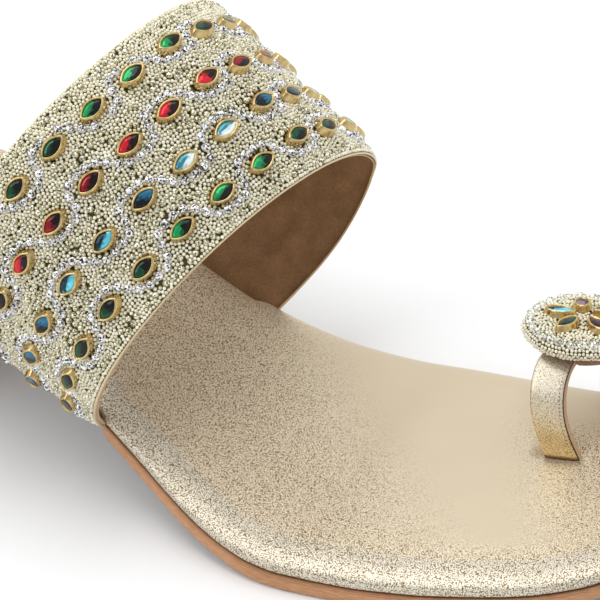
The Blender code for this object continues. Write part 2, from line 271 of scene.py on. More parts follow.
def bandShape(u, v):
    # outer face of the band: u from the little toe side over the instep, v from front edge to back
    u, v = np.broadcast_arrays(np.asarray(u, float), np.asarray(v, float))
    e = {name: lerp(front, back, v) for name, (front, back) in bandEdges.items()}
    feet = []
    for side, outside in (("outer", -bandForm["outside"]), ("inner", bandForm["outside"])):
        x = e[side + "X"]
        feet.append(np.stack([x, edgeY(x, side) + outside, seamHeight(x) - bandForm["drop"]], -1))
    start, stop = feet
    half = np.linalg.norm(stop - start, axis=-1) / 2.0
    across = unit(stop - start)
    upright = unit(np.array([0.0, 0.0, 1.0]) - across * across[..., 2:])
    lean = np.radians(e["lean"])[..., None]
    rise = np.cos(lean) * upright + np.sin(lean) * np.cross(across, upright)
    angle = lerp(-e["belly"], np.pi + e["belly"], u)
    power = 2.0 / e["power"]
    wide = np.sign(np.cos(angle)) * np.abs(np.cos(angle)) ** power / np.cos(e["belly"]) ** power
    foot = np.sin(e["belly"]) ** power
    tall = (np.sign(np.sin(angle)) * np.abs(np.sin(angle)) ** power + foot) / (1.0 + foot)
    swell = bandForm["swell"] * 4.0 * v * (1.0 - v) * np.sin(np.pi * u)
    swell -= bandForm["flat"] * between(v, *bandForm["flatV"]) * between(u, *bandForm["flatU"])
    swell += bandForm["back"] * v**2 * between(u, *bandForm["backU"])
    sideways = half * (e["shift"] * tall - wide) - swell * np.cos(np.pi * u)
    height = e["height"] * tall + swell * np.sin(np.pi * u)
    point = (start + stop) / 2.0 + across * sideways[..., None] + rise * height[..., None]
    point[..., 0] -= bandForm["recede"] * between(u, *bandForm["recedeU"])
    point[..., 2] -= footWrap(v) * (1.0 - ease(np.minimum(u, 1.0 - u) / bandForm["wrapFoot"]))
    return point


def footWrap(v):
    return bandForm["wrap"] * between(v, *bandForm["wrapV"])


# mesh helpers

def ringFaces(rows, columns):
    # faces between rings of points, each closed on itself
    index = np.arange(rows * columns).reshape(rows, columns)
    index = np.hstack([index, index[:, :1]])
    faces = np.stack([index[:-1, :-1], index[:-1, 1:], index[1:, 1:], index[1:, :-1]], -1)
    return faces.reshape(-1, 4).tolist()


def capFaces(ring, cap):
    # closes a ring with one face, or with strips between its two sides, which may meet in a point
    if cap == "whole":
        return [ring]
    half = len(ring) // 2
    near, far = ring[:half], ring[:half - 1:-1]
    if cap == "pointed":
        near, far = ring[:half + 1], ring[:1] + far
    return [list(dict.fromkeys(face)) for face in zip(near, near[1:], far[1:], far)]


def keep(name, mesh, finishes, nodes=()):
    for finish in finishes:
        mesh.materials.append(finish)
    piece = bpy.data.objects.new(name, mesh)
    bpy.context.scene.collection.objects.link(piece)
    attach(piece, "root")
    if nodes:
        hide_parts(*nodes)
    return piece


def addSolid(name, rings, finishes, nodes=(), cap="whole", slots=0, capSlots=(0, 0), marks=None):
    # a closed solid through rings of points; slots and marks are one value, or one for each ring or point
    grid = np.array(rings)
    rows, columns = grid.shape[:2]
    first = capFaces(list(range(columns)), cap)
    second = capFaces(list(range((rows - 1) * columns, rows * columns)), cap)
    points = (grid.reshape(-1, 3) - origin) * mm
    mesh = bpy.data.meshes.new(name)
    mesh.from_pydata(points.tolist(), [], ringFaces(rows, columns) + first + second)
    sides = np.broadcast_to(slots, (rows - 1, columns)).ravel()
    caps = np.repeat(capSlots, (len(first), len(second)))
    mesh.polygons.foreach_set("material_index", np.concatenate([sides, caps]).astype(np.int32))
    mesh.polygons.foreach_set("use_smooth", np.ones(len(mesh.polygons), bool))
    for mark, values in (marks or {}).items():
        layer = mesh.attributes.new(mark, "FLOAT", "POINT")
        layer.data.foreach_set("value", np.broadcast_to(values, (rows, columns)).astype(np.float32).ravel())
    shell = bmesh.new()
    shell.from_mesh(mesh)
    bmesh.ops.recalc_face_normals(shell, faces=shell.faces)
    shell.to_mesh(mesh)
    shell.free()
    return keep(name, mesh, finishes, nodes)


paintedSparkle = {
    # painted reflection: a gem's base brightness, how much more its bright end has, and how much each facet's
    # turn and tone vary
    "base": 0.3, "swing": 2.3, "turn": 0.2, "noise": 0.18,
    # painted glints: how bright a small stone's facets are, and the share of each
    "levels": (0.0, 0.04, 0.3, 0.75, 1.0), "shares": (0.16, 0.18, 0.14, 0.14, 0.38),
}


def paintedFacetFlash(points, faces, count, lit):
    # painted reflection and shade: one end of a gem is coloured bright as if it threw light back while the
    # other is dark; a small stone gets painted glints all over
    shape = (count, len(faces))
    if lit is None:
        return draws.choice(paintedSparkle["levels"], shape, p=paintedSparkle["shares"])
    middles = np.array([points[face].mean(axis=0)[:2] for face in faces]) / points[:, :2].max(axis=0)
    way = lit[:, None] + draws.normal(0.0, paintedSparkle["turn"], shape)
    paintedFlash = paintedSparkle["base"] + paintedSparkle["swing"] * (middles[:, 0] * np.cos(way) + middles[:, 1] * np.sin(way))
    return paintedFlash + draws.normal(0.0, paintedSparkle["noise"], shape)


def joinCopies(name, template, at, axes, finishes, size=1.0, tone=None, lit=None):
    # many small copies as one mesh; each copy carries its own tone, and flat facets their own painted
    # brightness
    points, faces, facets = template
    count, per = len(at), len(points)
    if tone is None:
        tone = draws.uniform(0.0, 1.0, count)
    sized = points * np.broadcast_to(size, count)[:, None, None]
    places = at[:, None] + np.einsum("nki,nij->nkj", sized, axes)
    corners = np.concatenate(faces)
    totals = np.array([len(face) for face in faces])
    steps = np.arange(count)[:, None]
    isFacet = np.arange(len(faces)) >= len(faces) - facets
    glassSlot = int(facets < len(faces))        # glass comes second where there is metal too
    mesh = bpy.data.meshes.new(name)
    mesh.vertices.add(count * per)
    mesh.vertices.foreach_set("co", ((places - origin) * mm).astype(np.float32).ravel())
    mesh.loops.add(count * len(corners))
    mesh.loops.foreach_set("vertex_index", (corners + steps * per).astype(np.int32).ravel())
    mesh.polygons.add(count * len(faces))
    starts = np.cumsum(totals) - totals + steps * len(corners)
    mesh.polygons.foreach_set("loop_start", starts.astype(np.int32).ravel())
    mesh.polygons.foreach_set("material_index", np.tile(isFacet * glassSlot, count).astype(np.int32))
    mesh.polygons.foreach_set("use_smooth", np.tile(~isFacet, count))
    mesh.update(calc_edges=True)
    marks = [("tone", "POINT", np.repeat(np.broadcast_to(tone, count), per))]
    if facets:
        marks.append(("paintedFlash", "FACE", np.clip(paintedFacetFlash(points, faces, count, lit), 0.0, 1.0)))
    for mark, domain, values in marks:
        layer = mesh.attributes.new(mark, "FLOAT", domain)
        layer.data.foreach_set("value", values.astype(np.float32).ravel())
    return keep(name, mesh, finishes)


def axesFrom(normal, along):
    # rows are the copy's own x, y and z directions
    along = unit(along - normal * np.sum(along * normal, axis=1, keepdims=True))
    return np.stack([along, np.cross(normal, along), normal], axis=1)


# materials

def perMetre(size):
    # texture scale that makes a feature this many millimetres wide
    return 1.0 / (size * mm)


def finishMaterial(material, colour, relief=None, strength=0.0, depth=0.0):
    # joins the colour on, and bumps this many millimetres deep
    tree = material.node_tree
    shader = tree.nodes["Principled BSDF"].inputs
    tree.links.new(colour, shader["Base Color"])
    if relief is not None:
        bump = addNode(tree, "Bump", {"Strength": strength, "Distance": depth * mm}, {"Height": relief})
        tree.links.new(bump, shader["Normal"])
    return material


foilGrain = {
    "pebble": 0.3,          # mm across one pebble of the grain
    "even": 0.62,           # how bright the foil is between pebble and crease
    # the silver tints the painted highlight on the roll; the dark brown is for the rubbed, glued edge and its
    # painted shade
    "contrast": 2.7, "stretched": "#EDE7D6", "rubAndPaintedShade": "#6A4B2A", "depth": 0.07,
}


def makeFoilLeather(name, light, deep, roughness, metallic, bump, strength=1.0, paintedReflectionTint=None):
    # goat leather with a bonded metal foil, embossed: bright pebbles with brown creases between them
    material, tree = startMaterial(name, {"Metallic": metallic, "Roughness": roughness, "Coat Weight": 0.2,
                                          "Coat Roughness": 0.3})
    where = addNode(tree, "TexCoord", out="Object")
    pebbles = addNode(tree, "TexVoronoi", {"Scale": perMetre(foilGrain["pebble"])}, {"Vector": where})
    broad = addNode(tree, "TexNoise", {"Scale": perMetre(30.0), "Detail": 2.0}, {"Vector": where})
    embossed = addNode(tree, "Attribute", out="Fac", attribute_name="grain")       # how deep the embossing is
    height = addNode(tree, "MapRange", {1: 0.1, 2: 0.97, 3: 0.5, 4: -0.5}, {0: pebbles})
    relief = addNode(tree, "Math", None, {0: height, 1: embossed}, operation="MULTIPLY")
    share = addNode(tree, "Math", {1: strength * foilGrain["contrast"], 2: foilGrain["even"]}, {0: relief},
                    operation="MULTIPLY_ADD", use_clamp=True)
    # painted highlight: over the roll, where the grain is deepest, the foil is tinted from gold to silver
    # where the light catches it
    stretched = addNode(tree, "MapRange", {1: 1.0, 2: 1.5}, {0: embossed})
    bright = addNode(tree, "Mix", {6: hexColour(light), 7: hexColour(foilGrain["stretched"])}, {0: stretched},
                     **colourMix)
    base = addNode(tree, "Mix", {6: hexColour(deep)}, {0: share, 7: bright}, **colourMix)
    drift = addNode(tree, "MapRange", {1: 0.3, 2: 0.7, 3: 0.96, 4: 1.03}, {0: broad})
    colour = addNode(tree, "Mix", {0: 1.0}, {6: base, 7: drift}, **colourMix, blend_type="MULTIPLY")
    if paintedReflectionTint:
        # painted reflection: the foil is tinted from silver high up to gold low down between these heights,
        # as the light falls on it
        top, bottom, gold = paintedReflectionTint
        level = addNode(tree, "SeparateXYZ", None, {0: where}, out="Z")
        down = addNode(tree, "MapRange", {1: top * mm, 2: bottom * mm}, {0: level})
        colour = addNode(tree, "Mix", {7: hexColour(gold)}, {0: down, 6: colour}, **colourMix,
                         blend_type="MULTIPLY")
    # the turned edge beside the seam is rubbed and glued, and takes painted shade where the seam and the
    # strap's slit shade it, so it is darker
    low = addNode(tree, "Attribute", out="Fac", attribute_name="rubAndPaintedShade")
    rubbedAndShaded = addNode(tree, "Mix", {7: hexColour(foilGrain["rubAndPaintedShade"])}, {0: low, 6: colour}, **colourMix)
    return finishMaterial(material, rubbedAndShaded, relief, bump, foilGrain["depth"])


def makeSoleLeather():
    # vegetable tanned shoulder, cut, sanded and burnished with wax: tan with fibres along the edge,
    # which are drawn coarser than life so that they show
    material, tree = startMaterial("vegTanLeatherWaxedEdge", {"Roughness": 0.42, "Coat Weight": 0.12,
                                                              "Coat Roughness": 0.35})
    where = addNode(tree, "TexCoord", out="Object")
    stretched = addNode(tree, "Mapping", {"Scale": (1.0, 1.0, 6.0)}, {"Vector": where})
    fibres = addNode(tree, "TexNoise", {"Scale": perMetre(2.2), "Detail": 5.0}, {"Vector": stretched})
    patches = addNode(tree, "TexNoise", {"Scale": perMetre(22.0), "Detail": 3.0}, {"Vector": where})
    amount = addNode(tree, "MapRange", {1: 0.35, 2: 0.68}, {0: fibres})
    tan = addNode(tree, "Mix", {6: hexColour("#B27B50"), 7: hexColour("#C9966A")}, {0: amount}, **colourMix)
    patch = addNode(tree, "MapRange", {1: 0.3, 2: 0.7, 3: 0.9, 4: 1.06}, {0: patches})
    toned = addNode(tree, "Mix", {0: 1.0}, {6: tan, 7: patch}, **colourMix, blend_type="MULTIPLY")
    # darker in the edge's groove, and painted shade at the top under the footbed
    low = addNode(tree, "Attribute", out="Fac", attribute_name="rubAndPaintedShade")
    rim = addNode(tree, "Mix", {7: hexColour("#6B4024")}, {0: low, 6: toned}, **colourMix)
    return finishMaterial(material, rim, fibres, 0.35, 0.08)


def makeHeelLeather():
    # stacked lifts of sole leather, glued and sanded flush: thin darker lines every few millimetres
    material, tree = startMaterial("stackedLeatherSanded", {"Roughness": 0.45, "Coat Weight": 0.1})
    where = addNode(tree, "TexCoord", out="Object")
    level = addNode(tree, "SeparateXYZ", None, {0: where}, out="Z")
    lifts = addNode(tree, "Math", {1: perMetre(4.0)}, {0: level}, operation="MULTIPLY")
    part = addNode(tree, "Math", None, {0: lifts}, operation="FRACT")
    line = addNode(tree, "MapRange", {1: 0.0, 2: 0.09, 3: 1.0, 4: 0.0}, {0: part})
    whole = addNode(tree, "Math", None, {0: lifts}, operation="FLOOR")
    perLift = addNode(tree, "TexWhiteNoise", None, {"W": whole}, noise_dimensions="1D")
    stretched = addNode(tree, "Mapping", {"Scale": (1.0, 1.0, 7.0)}, {"Vector": where})
    fibres = addNode(tree, "TexNoise", {"Scale": perMetre(2.5), "Detail": 5.0}, {"Vector": stretched})
    tan = addNode(tree, "Mix", {6: hexColour("#9A6742"), 7: hexColour("#B6845C")}, {0: fibres}, **colourMix)
    liftTone = addNode(tree, "MapRange", {3: 0.86, 4: 1.06}, {0: perLift})
    toned = addNode(tree, "Mix", {0: 1.0}, {6: tan, 7: liftTone}, **colourMix, blend_type="MULTIPLY")
    lined = addNode(tree, "Mix", {7: hexColour("#5E3820")}, {0: line, 6: toned}, **colourMix)
    return finishMaterial(material, lined, fibres, 0.4, 0.1)


def makeSuede(name, dark, light):
    # pigskin split, sueded: short nap that lies in soft patches and takes no highlight
    material, tree = startMaterial(name, {"Roughness": 0.95, "Specular IOR Level": 0.2, "Sheen Weight": 0.25,
                                          "Sheen Roughness": 0.5, "Sheen Tint": hexColour("#B08D66")})
    where = addNode(tree, "TexCoord", out="Object")
    nap = addNode(tree, "TexNoise", {"Scale": perMetre(4.5), "Detail": 6.0}, {"Vector": where})
    fuzz = addNode(tree, "TexNoise", {"Scale": perMetre(0.5), "Detail": 3.0}, {"Vector": where})
    patch = addNode(tree, "MapRange", {1: 0.3, 2: 0.7}, {0: nap})
    base = addNode(tree, "Mix", {6: hexColour(dark), 7: hexColour(light)}, {0: patch}, **colourMix)
    speck = addNode(tree, "MapRange", {1: 0.3, 2: 0.7, 3: 0.82, 4: 1.14}, {0: fuzz})
    toned = addNode(tree, "Mix", {0: 1.0}, {6: base, 7: speck}, **colourMix, blend_type="MULTIPLY")
    return finishMaterial(material, toned, fuzz, 0.5, 0.2)


def makeGroundCloth():
    # cotton cloth under the beads, plain weave: dull olive where it shows between them
    material, tree = startMaterial("cottonGroundClothWoven", {"Roughness": 0.9, "Specular IOR Level": 0.2})
    where = addNode(tree, "TexCoord", out="Object")
    weave = addNode(tree, "TexNoise", {"Scale": perMetre(0.5), "Detail": 2.0}, {"Vector": where})
    base = addNode(tree, "Mix", {6: hexColour("#443E22"), 7: hexColour("#746C44")}, {0: weave}, **colourMix)
    return finishMaterial(material, base, weave, 0.5, 0.1)


def makeBeadGlass():
    # opaque glass seed beads, drawn, cut and tumbled, with a pearl lustre: each has one small highlight
    material, tree = startMaterial("pearlGlassSeedBeads", {"Roughness": 0.24, "Coat Weight": 1.0,
                                                           "Coat Roughness": 0.04})
    tone = addNode(tree, "Attribute", out="Fac", attribute_name="tone")
    cream = addNode(tree, "Mix", {6: hexColour("#C9C19C"), 7: hexColour("#F6F1DC")}, {0: tone}, **colourMix)
    return finishMaterial(material, cream)


def makeMetal(name, dark, light, roughness, wear):
    # plated casting, tumbled bright: the finish dulls in fine spots
    material, tree = startMaterial(name, {"Metallic": 1.0})
    where = addNode(tree, "TexCoord", out="Object")
    spots = addNode(tree, "TexNoise", {"Scale": perMetre(wear), "Detail": 3.0}, {"Vector": where})
    base = addNode(tree, "Mix", {6: hexColour(dark), 7: hexColour(light)}, {0: spots}, **colourMix)
    rough = addNode(tree, "MapRange", {1: 0.3, 2: 0.7, 3: roughness - 0.06, 4: roughness + 0.08}, {0: spots})
    tree.links.new(rough, tree.nodes["Principled BSDF"].inputs["Roughness"])
    return finishMaterial(material, base)


def makeFacets(name, dark, light, gloss=0.7):
    # cut glass with a mirror back, under a clear gloss: its colour carries each facet's painted reflection
    # and shade, over its own real sheen
    material, tree = startMaterial(name, {"Metallic": 0.5, "Roughness": 0.12, "Coat Weight": gloss,
                                          "Coat Roughness": 0.02})
    paintedFlash = addNode(tree, "Attribute", out="Fac", attribute_name="paintedFlash")
    base = addNode(tree, "Mix", {6: hexColour(dark), 7: hexColour(light)}, {0: paintedFlash}, **colourMix)
    return finishMaterial(material, base)


def makePlain(name, dark, light, size, roughness):
    # painted, moulded or rubbed surface with slow changes of tone
    material, tree = startMaterial(name, {"Roughness": roughness})
    where = addNode(tree, "TexCoord", out="Object")
    cloud = addNode(tree, "TexNoise", {"Scale": perMetre(size), "Detail": 4.0}, {"Vector": where})
    base = addNode(tree, "Mix", {6: hexColour(dark), 7: hexColour(light)}, {0: cloud}, **colourMix)
    return finishMaterial(material, base, cloud, 0.3, 0.1)


footbedFoil = makeFoilLeather("champagneFoilGoatskin", "#F7E9CE", "#7E6438", 0.42, 0.55, 0.5)
# the strap's foil takes a painted reflection: silver high up, gold low down
strapFoil = makeFoilLeather("paleGoldFoilGoatskin", "#FBF3E2", "#8A7044", 0.36, 0.8, 0.3, strength=0.38,
                            paintedReflectionTint=(25.0, 16.0, "#FAEDCA"))
bindingFoil = makeFoilLeather("goldFoilBindingLeather", "#EFE0BC", "#A88C5A", 0.36, 0.55, 0.2)
soleLeather = makeSoleLeather()
heelLeather = makeHeelLeather()
topPieceRubber = makePlain("brownRubberMoulded", "#3A281B", "#4B3525", 3.0, 0.6)
bandSuede = makeSuede("brownPigSuede", "#735439", "#866545")
discSuede = makeSuede("rosyBrownPigSuede", "#7A5B48", "#A07E68")
groundCloth = makeGroundCloth()
beadGlass = makeBeadGlass()
goldPlate = makeMetal("brassCastGoldPlated", "#8C6C34", "#F0DAA0", 0.2, 1.2)
silverPlate = makeMetal("brassStampedSilverPlated", "#A8A6A0", "#F2F0EC", 0.2, 0.8)
brassPlate = makeMetal("brassStampedPaleGilt", "#A59A6A", "#D8CFA4", 0.3, 1.0)
clearFacets = makeFacets("clearCutGlassFoiled", "#101012", "#FFFFFF")
champagneFacets = makeFacets("champagneCutGlassFoiled", "#45421C", "#FCFAE4")
paleFacets = makeFacets("paleCutGlassFoiled", "#77775C", "#FFFFF0")
edgePaint = makePlain("brownEdgePaint", "#2E170B", "#4C2915", 1.2, 0.5)
tanLining = makePlain("tanSkiverLining", "#B08E68", "#CBAC86", 1.0, 0.65)
soleRubber = makePlain("greyRubberSheetRolled", "#77746F", "#8E8B86", 1.5, 0.7)
thread = makePlain("waxedThreadTwisted", "#4E3C22", "#6A5332", 0.4, 0.55)
foilTints = {
    # each gem's dark and bright facet colours: painted shade and painted reflection
    "emerald": ("#020C08", "#159A58"), "forest": ("#040806", "#0E4A30"), "ruby": ("#160205", "#D41C2E"),
    "garnet": ("#100204", "#920F22"), "aqua": ("#0A2C3A", "#6CD4EC"), "ice": ("#3C8494", "#F0FFFF"),
    "navy": ("#05111A", "#276F90"), "plum": ("#12040C", "#5E1C3C"), "mauve": ("#3A2A34", "#9A7C90"),
}
foils = {tint: makeFacets(tint + "GlassFoiled", *shades, gloss=0.15) for tint, shades in foilTints.items()}
print("materials ready")

# sole

soleEdge = np.array([
    # height from the seam, inset from the outline, how dark it is: in the groove, and as painted shade at the
    # top where the footbed overhangs the seam
    (-4.4, 9.0, 0.0), (-4.4, 1.7, 0.0), (-4.36, 0.95, 0.0), (-4.12, 0.38, 0.0), (-3.75, 0.08, 0.0),
    (-3.3, 0.0, 0.0), (-2.0, 0.0, 0.0), (-1.05, 0.02, 0.0), (-0.86, 0.13, 0.3), (-0.70, 0.13, 0.3),
    (-0.52, 0.02, 0.0), (-0.22, 0.08, 0.5), (-0.03, 0.32, 0.5), (0.0, 0.9, 0.5), (0.0, 3.5, 0.5),
])
soleWaist = 2.8             # mm that the sole draws in under the band's feet


def seamRing(plan, height):
    return np.column_stack([plan, seamHeight(plan[:, 0]) + height])


def buildOutsole():
    outline, outer = soleLoop()
    waist = soleWaist * underBand(outline[:, 0], outer, 1.0)
    rings = [seamRing(insetLoop(outline, inset + waist), height) for height, inset, _dark in soleEdge]
    # a thin rubber sheet is glued on below, inside the edge
    rubber = np.arange(len(rings) - 1)[:, None] == 0
    addSolid("outsole_leather", rings, [soleLeather, soleRubber], ["outsole"], "pointed",
             rubber, (1, 0), {"rubAndPaintedShade": soleEdge[:, 2:]})


heel = {
    "breast": 49.0, "lean": 4.0, "corner": 1.0, "topInset": 1.2, "floorInset": 3.6, "topPiece": 4.5,
    "groove": 0.35, "points": 180,
}


def heelRing(height, groove):
    # round the back of the sole's outline and straight across the breast
    level = height / last["heelRise"]
    corner = heel["corner"]
    breast = heel["breast"] - heel["lean"] * (1.0 - level) - groove
    plan = insetLoop(soleLoop(160)[0], lerp(heel["floorInset"], heel["topInset"], level ** 0.8) + groove)
    outer, inner = np.split(plan, 2)
    outerEnd = np.interp(breast, outer[:, 0], outer[:, 1])
    innerEnd = np.interp(breast, inner[::-1, 0], inner[::-1, 1])
    back, near = (side[side[:, 0] < breast - 1.5 * corner] for side in (inner, outer))
    path = np.vstack([[(breast, 0.0), (breast, innerEnd - corner), (breast - corner, innerEnd)], back, near,
                      [(breast - corner, outerEnd), (breast, outerEnd + corner), (breast, 0.0)]])
    run = runOf(path)
    plan = readAt(np.linspace(0.0, run[-1], heel["points"] + 1)[:-1], run, path)
    return np.column_stack([plan, np.full(len(plan), height)])


def buildHeel():
    top, split, groove = last["heelRise"] - 0.05, heel["topPiece"], heel["groove"]
    block = [(split + 0.05, groove), (split + 0.35, 0.0)]
    block += [(z, 0.0) for z in np.linspace(split + 2.0, top - 0.8, 14)] + [(top - 0.25, 0.1), (top, 0.5)]
    tip = [(0.0, 0.5), (0.15, 0.18), (0.5, 0.0), (split - 0.4, 0.0), (split - 0.1, groove), (split, groove)]
    for name, levels, finish in (("heel_block", block, heelLeather), ("heel_top_piece", tip, topPieceRubber)):
        addSolid(name, [heelRing(z, inset) for z, inset in levels], [finish], ["heel"])


footbed = {
    "step": 0.3, "gap": 0.3, "height": 4.3, "roll": 7.5, "rollFoot": 2.0, "rollSteps": 18,
    "dish": 0.9, "dishShare": 0.72, "dishSteps": 34, "wave": 0.07, "spine": (34.0, 214.0),
    "tuck": 1.6, "reach": -1.2, "fade": 3.0, "pucker": 0.07,
    "rollGrain": 0.5,       # how much deeper the grain stays on the outer roll
}
turnedEdge = [
    # height above the seam, inset, share of the pleats, how dark it is: rubbed and glued, with painted seam
    # shade
    (0.02, 3.4, 0.0, 1.0), (0.0, 1.0, 0.3, 1.0), (0.05, 0.45, 0.8, 0.9), (0.2, 0.16, 1.0, 0.4),
    (0.5, 0.03, 0.8, 0.05), (1.2, 0.0, 0.3, 0.0),
]
pressed = {
    # directions in plan, and the mm along them where the grain fades out and comes back at the toes
    "way": (0.618, 0.786), "from": 72.0, "over": 46.0,
    "toeWay": (0.9, 0.44), "toeFrom": 177.0, "toeOver": 34.0, "farSide": 34.0, "farOver": 14.0,
}
ringBase = {"at": (209.2, 16.9), "turn": 9.0, "width": 8.7, "thick": 2.0, "dip": 0.75, "dipWidth": 1.7}


def ringBaseDistance(x, y):
    # distance in plan from the strap where it enters the footbed
    turn = math.radians(ringBase["turn"])
    dx, dy = x - ringBase["at"][0], y - ringBase["at"][1]
    along = np.abs(dx * math.cos(turn) + dy * math.sin(turn)) - ringBase["width"] / 2
    across = np.abs(-dx * math.sin(turn) + dy * math.cos(turn)) - ringBase["thick"] / 2
    return np.hypot(np.maximum(along, 0), np.maximum(across, 0)) + np.minimum(np.maximum(along, across), 0)


def grainDepth(plan, outer, share):
    # the grain is pressed flat in a lane over the ball of the foot and on past the ring on its far side,
    # and stays deep on the outer roll
    toes = ease((plan @ pressed["toeWay"] - pressed["toeFrom"]) / pressed["toeOver"])
    toes *= ease((pressed["farSide"] - plan[:, 1]) / pressed["farOver"])
    lane = ease((plan @ pressed["way"] - pressed["from"]) / pressed["over"]) * (1.0 - toes)
    lane *= np.where(outer, ease((share - 0.02) / 0.3), 1.0)
    return 1.0 - lane + footbed["rollGrain"] * outer * (1.0 - ease(share / 0.11))


def buildFootbed():
    outline, outer = soleLoop()
    count = len(outline)
    tuck = footbed["tuck"] * underBand(outline[:, 0], outer, footbed["reach"], footbed["fade"])
    tuck += footbed["step"]
    # the leather is pulled round the edge, so its lower rim has small uneven pleats
    pleats = np.convolve(draws.normal(size=count + 6), np.ones(3) / 3, "same")[3:-3]
    rows = []                       # plan, height above the footbed's foot, how dark, share of the way in
    for height, inset, pleat, dark in turnedEdge:
        inset = tuck + inset + footbed["pucker"] * pleat * pleats
        rows.append((insetLoop(outline, inset), height, dark, 0.0))
    for angle in np.radians(np.linspace(0.0, 90.0, footbed["rollSteps"])):
        inset = tuck + footbed["roll"] * (1.0 - math.cos(angle))
        height = lerp(footbed["rollFoot"], footbed["height"], math.sin(angle))
        rows.append((insetLoop(outline, inset), height, 0.0, 0.0))
    wavy = len(rows) - 4            # the top of the roll and the dish are slightly wavy
    crest = insetLoop(outline, tuck + footbed["roll"])
    middle = 0.5 * (crest + crest[-np.arange(count)])
    middle[:, 0] = np.clip(middle[:, 0], *footbed["spine"])
    for share in np.linspace(0.0, 0.985, footbed["dishSteps"])[1:]:
        height = footbed["height"] - footbed["dish"] * ease(share / footbed["dishShare"])
        rows.append((lerp(crest, middle, share), height, 0.0, share))
    rings = np.array([seamRing(plan, footbed["gap"] + height) for plan, height, _dark, _share in rows])
    x, y = rings[wavy:, :, 0], rings[wavy:, :, 1]
    wave = np.sin(x / 17.0 + 1.3) * np.sin(y / 11.0) + 0.6 * np.sin(x / 7.0 + y / 9.0)
    dent = np.exp(-(np.maximum(ringBaseDistance(x, y), 0.0) / ringBase["dipWidth"]) ** 2)
    rings[wavy:, :, 2] += footbed["wave"] * wave - ringBase["dip"] * dent
    marks = {"rubAndPaintedShade": np.array([[dark] for _plan, _height, dark, _share in rows]),
             "grain": np.array([grainDepth(plan, outer, share) for plan, _height, _dark, share in rows])}
    cover = addSolid("footbed_cover", rings, [footbedFoil], ["footbed"], "pointed",
                     marks=marks)


buildOutsole()
buildHeel()
buildFootbed()
print("sole, heel and footbed built")

# instep band

band = {
    "width": 52.5, "cut": 0.15,
    "cloth": (-0.42, -0.78), "lining": (-0.8, -1.35),       # how far under the face each side lies, mm
    "skive": 0.4, "skiveWide": 3.0,                         # how much thinner it is pared, and how far in
    "beadPitch": 0.97, "beadRadius": 0.46, "beadRounds": 14, "beadRim": 0.6,
    "beadScatter": 0.2, "beadUneven": 0.05, "beadTone": (0.62, 0.24), "beadSizes": 0.045,
    "edgeRowIn": 0.1, "edgeRowTilt": 40.0,
}
# a fine grid of the outer face, evenly spaced along each row
gridU, gridV, arcCount = np.linspace(0.0, 1.0, 1201), np.linspace(0.0, 1.0, 61), 481
bandPoints, bandLengths = [], []
for gridRow in (bandShape(gridU, v) for v in gridV):
    gridRun = runOf(gridRow)
    bandPoints.append(readAt(np.linspace(0.0, gridRun[-1], arcCount), gridRun, gridRow))
    bandLengths.append(gridRun[-1])
bandPoints = np.array(bandPoints)
bandAlong = unit(np.gradient(bandPoints, axis=1))
bandNormals = unit(np.cross(bandAlong, np.gradient(bandPoints, axis=0)))


def rowLength(across):
    return np.interp(np.asarray(across) / band["width"], gridV, bandLengths)


def onBand(places, lift=0.0):
    # places are mm along from the little toe side's base and mm across from the front edge
    arc, across = places[..., 0], places[..., 1]
    a = arc / rowLength(across) * (arcCount - 1)
    b = across / band["width"] * (len(gridV) - 1)
    i = np.clip(np.floor(a).astype(int), 0, arcCount - 2)
    j = np.clip(np.floor(b).astype(int), 0, len(gridV) - 2)
    s, t = (a - i)[..., None], (b - j)[..., None]
    point, normal, along = (lerp(lerp(field[j, i], field[j, i + 1], s),
                                 lerp(field[j + 1, i], field[j + 1, i + 1], s), t)
                            for field in (bandPoints, bandNormals, bandAlong))
    normal = unit(normal)
    return point + normal * np.broadcast_to(lift, arc.shape)[..., None], normal, unit(along)


def buildShell(name, outerLift, innerLift, skive, finish):
    # round the section: out along one face and back along the other, which is pared thin at both edges
    across = np.linspace(band["cut"], band["width"] - band["cut"], 33)
    pared = innerLift + skive * (1.0 - ease(np.minimum(across, band["width"] - across) / band["skiveWide"]))
    lift = np.concatenate([np.full(len(across), outerLift), pared[::-1]])
    across = np.concatenate([across, across[::-1]])
    places = pairs(np.linspace(0.0, 1.0, 201)[:, None] * rowLength(across), across)
    addSolid(name, onBand(places, lift)[0], [finish], ["instep_band"], "strips")


cords = {
    # mm in from the edge, lift, radius, extra radius at the little toe side's base:
    # the piping under the last beads, then the lining's turned edge
    "piping": (-0.02, -0.34, 0.27, 0.15), "lining_edge": (-0.06, -1.06, 0.22, 0.2),
}


def buildCord(kind, edge, finish):
    inwards, lift, radius, extra = cords[kind]
    arcs = np.linspace(0.0, 1.0, 401)[:, None]
    turns = np.linspace(0.0, 2 * np.pi, 11)[:-1]
    thick = radius + extra * (1.0 - ease((arcs - 0.04) / 0.2))
    across = inwards + thick * np.cos(turns)
    if edge == "back":
        across = band["width"] - across
    rings = onBand(pairs(arcs * rowLength(across), across), lift + thick * np.sin(turns))[0]
    addSolid("band_" + kind + "_" + edge, rings, [finish])


# small parts: each template gives points, faces and how many of the last faces are flat facets

gem = {
    "length": 6.1, "width": 3.1, "girdle": 1.5, "table": 1.86, "point": 1.75,
    "lean": 0.17, "leanFrom": 22.0, "leanOver": 26.0,       # how far it leans, and mm along where that turns
    "metalLong": 1.6, "metalWide": 1.7,                     # mm that its setting adds
}
settingProfile = [
    # mm out from the glass, height: foot, leaning wall, thin lip, seat under the glass
    (1.0, -0.55), (1.02, -0.1), (0.96, 0.25), (0.84, 0.7), (0.70, 1.2), (0.60, 1.6), (0.49, 1.83),
    (0.32, 1.92), (0.15, 1.86), (0.02, 1.66), (-0.08, 1.35),
]


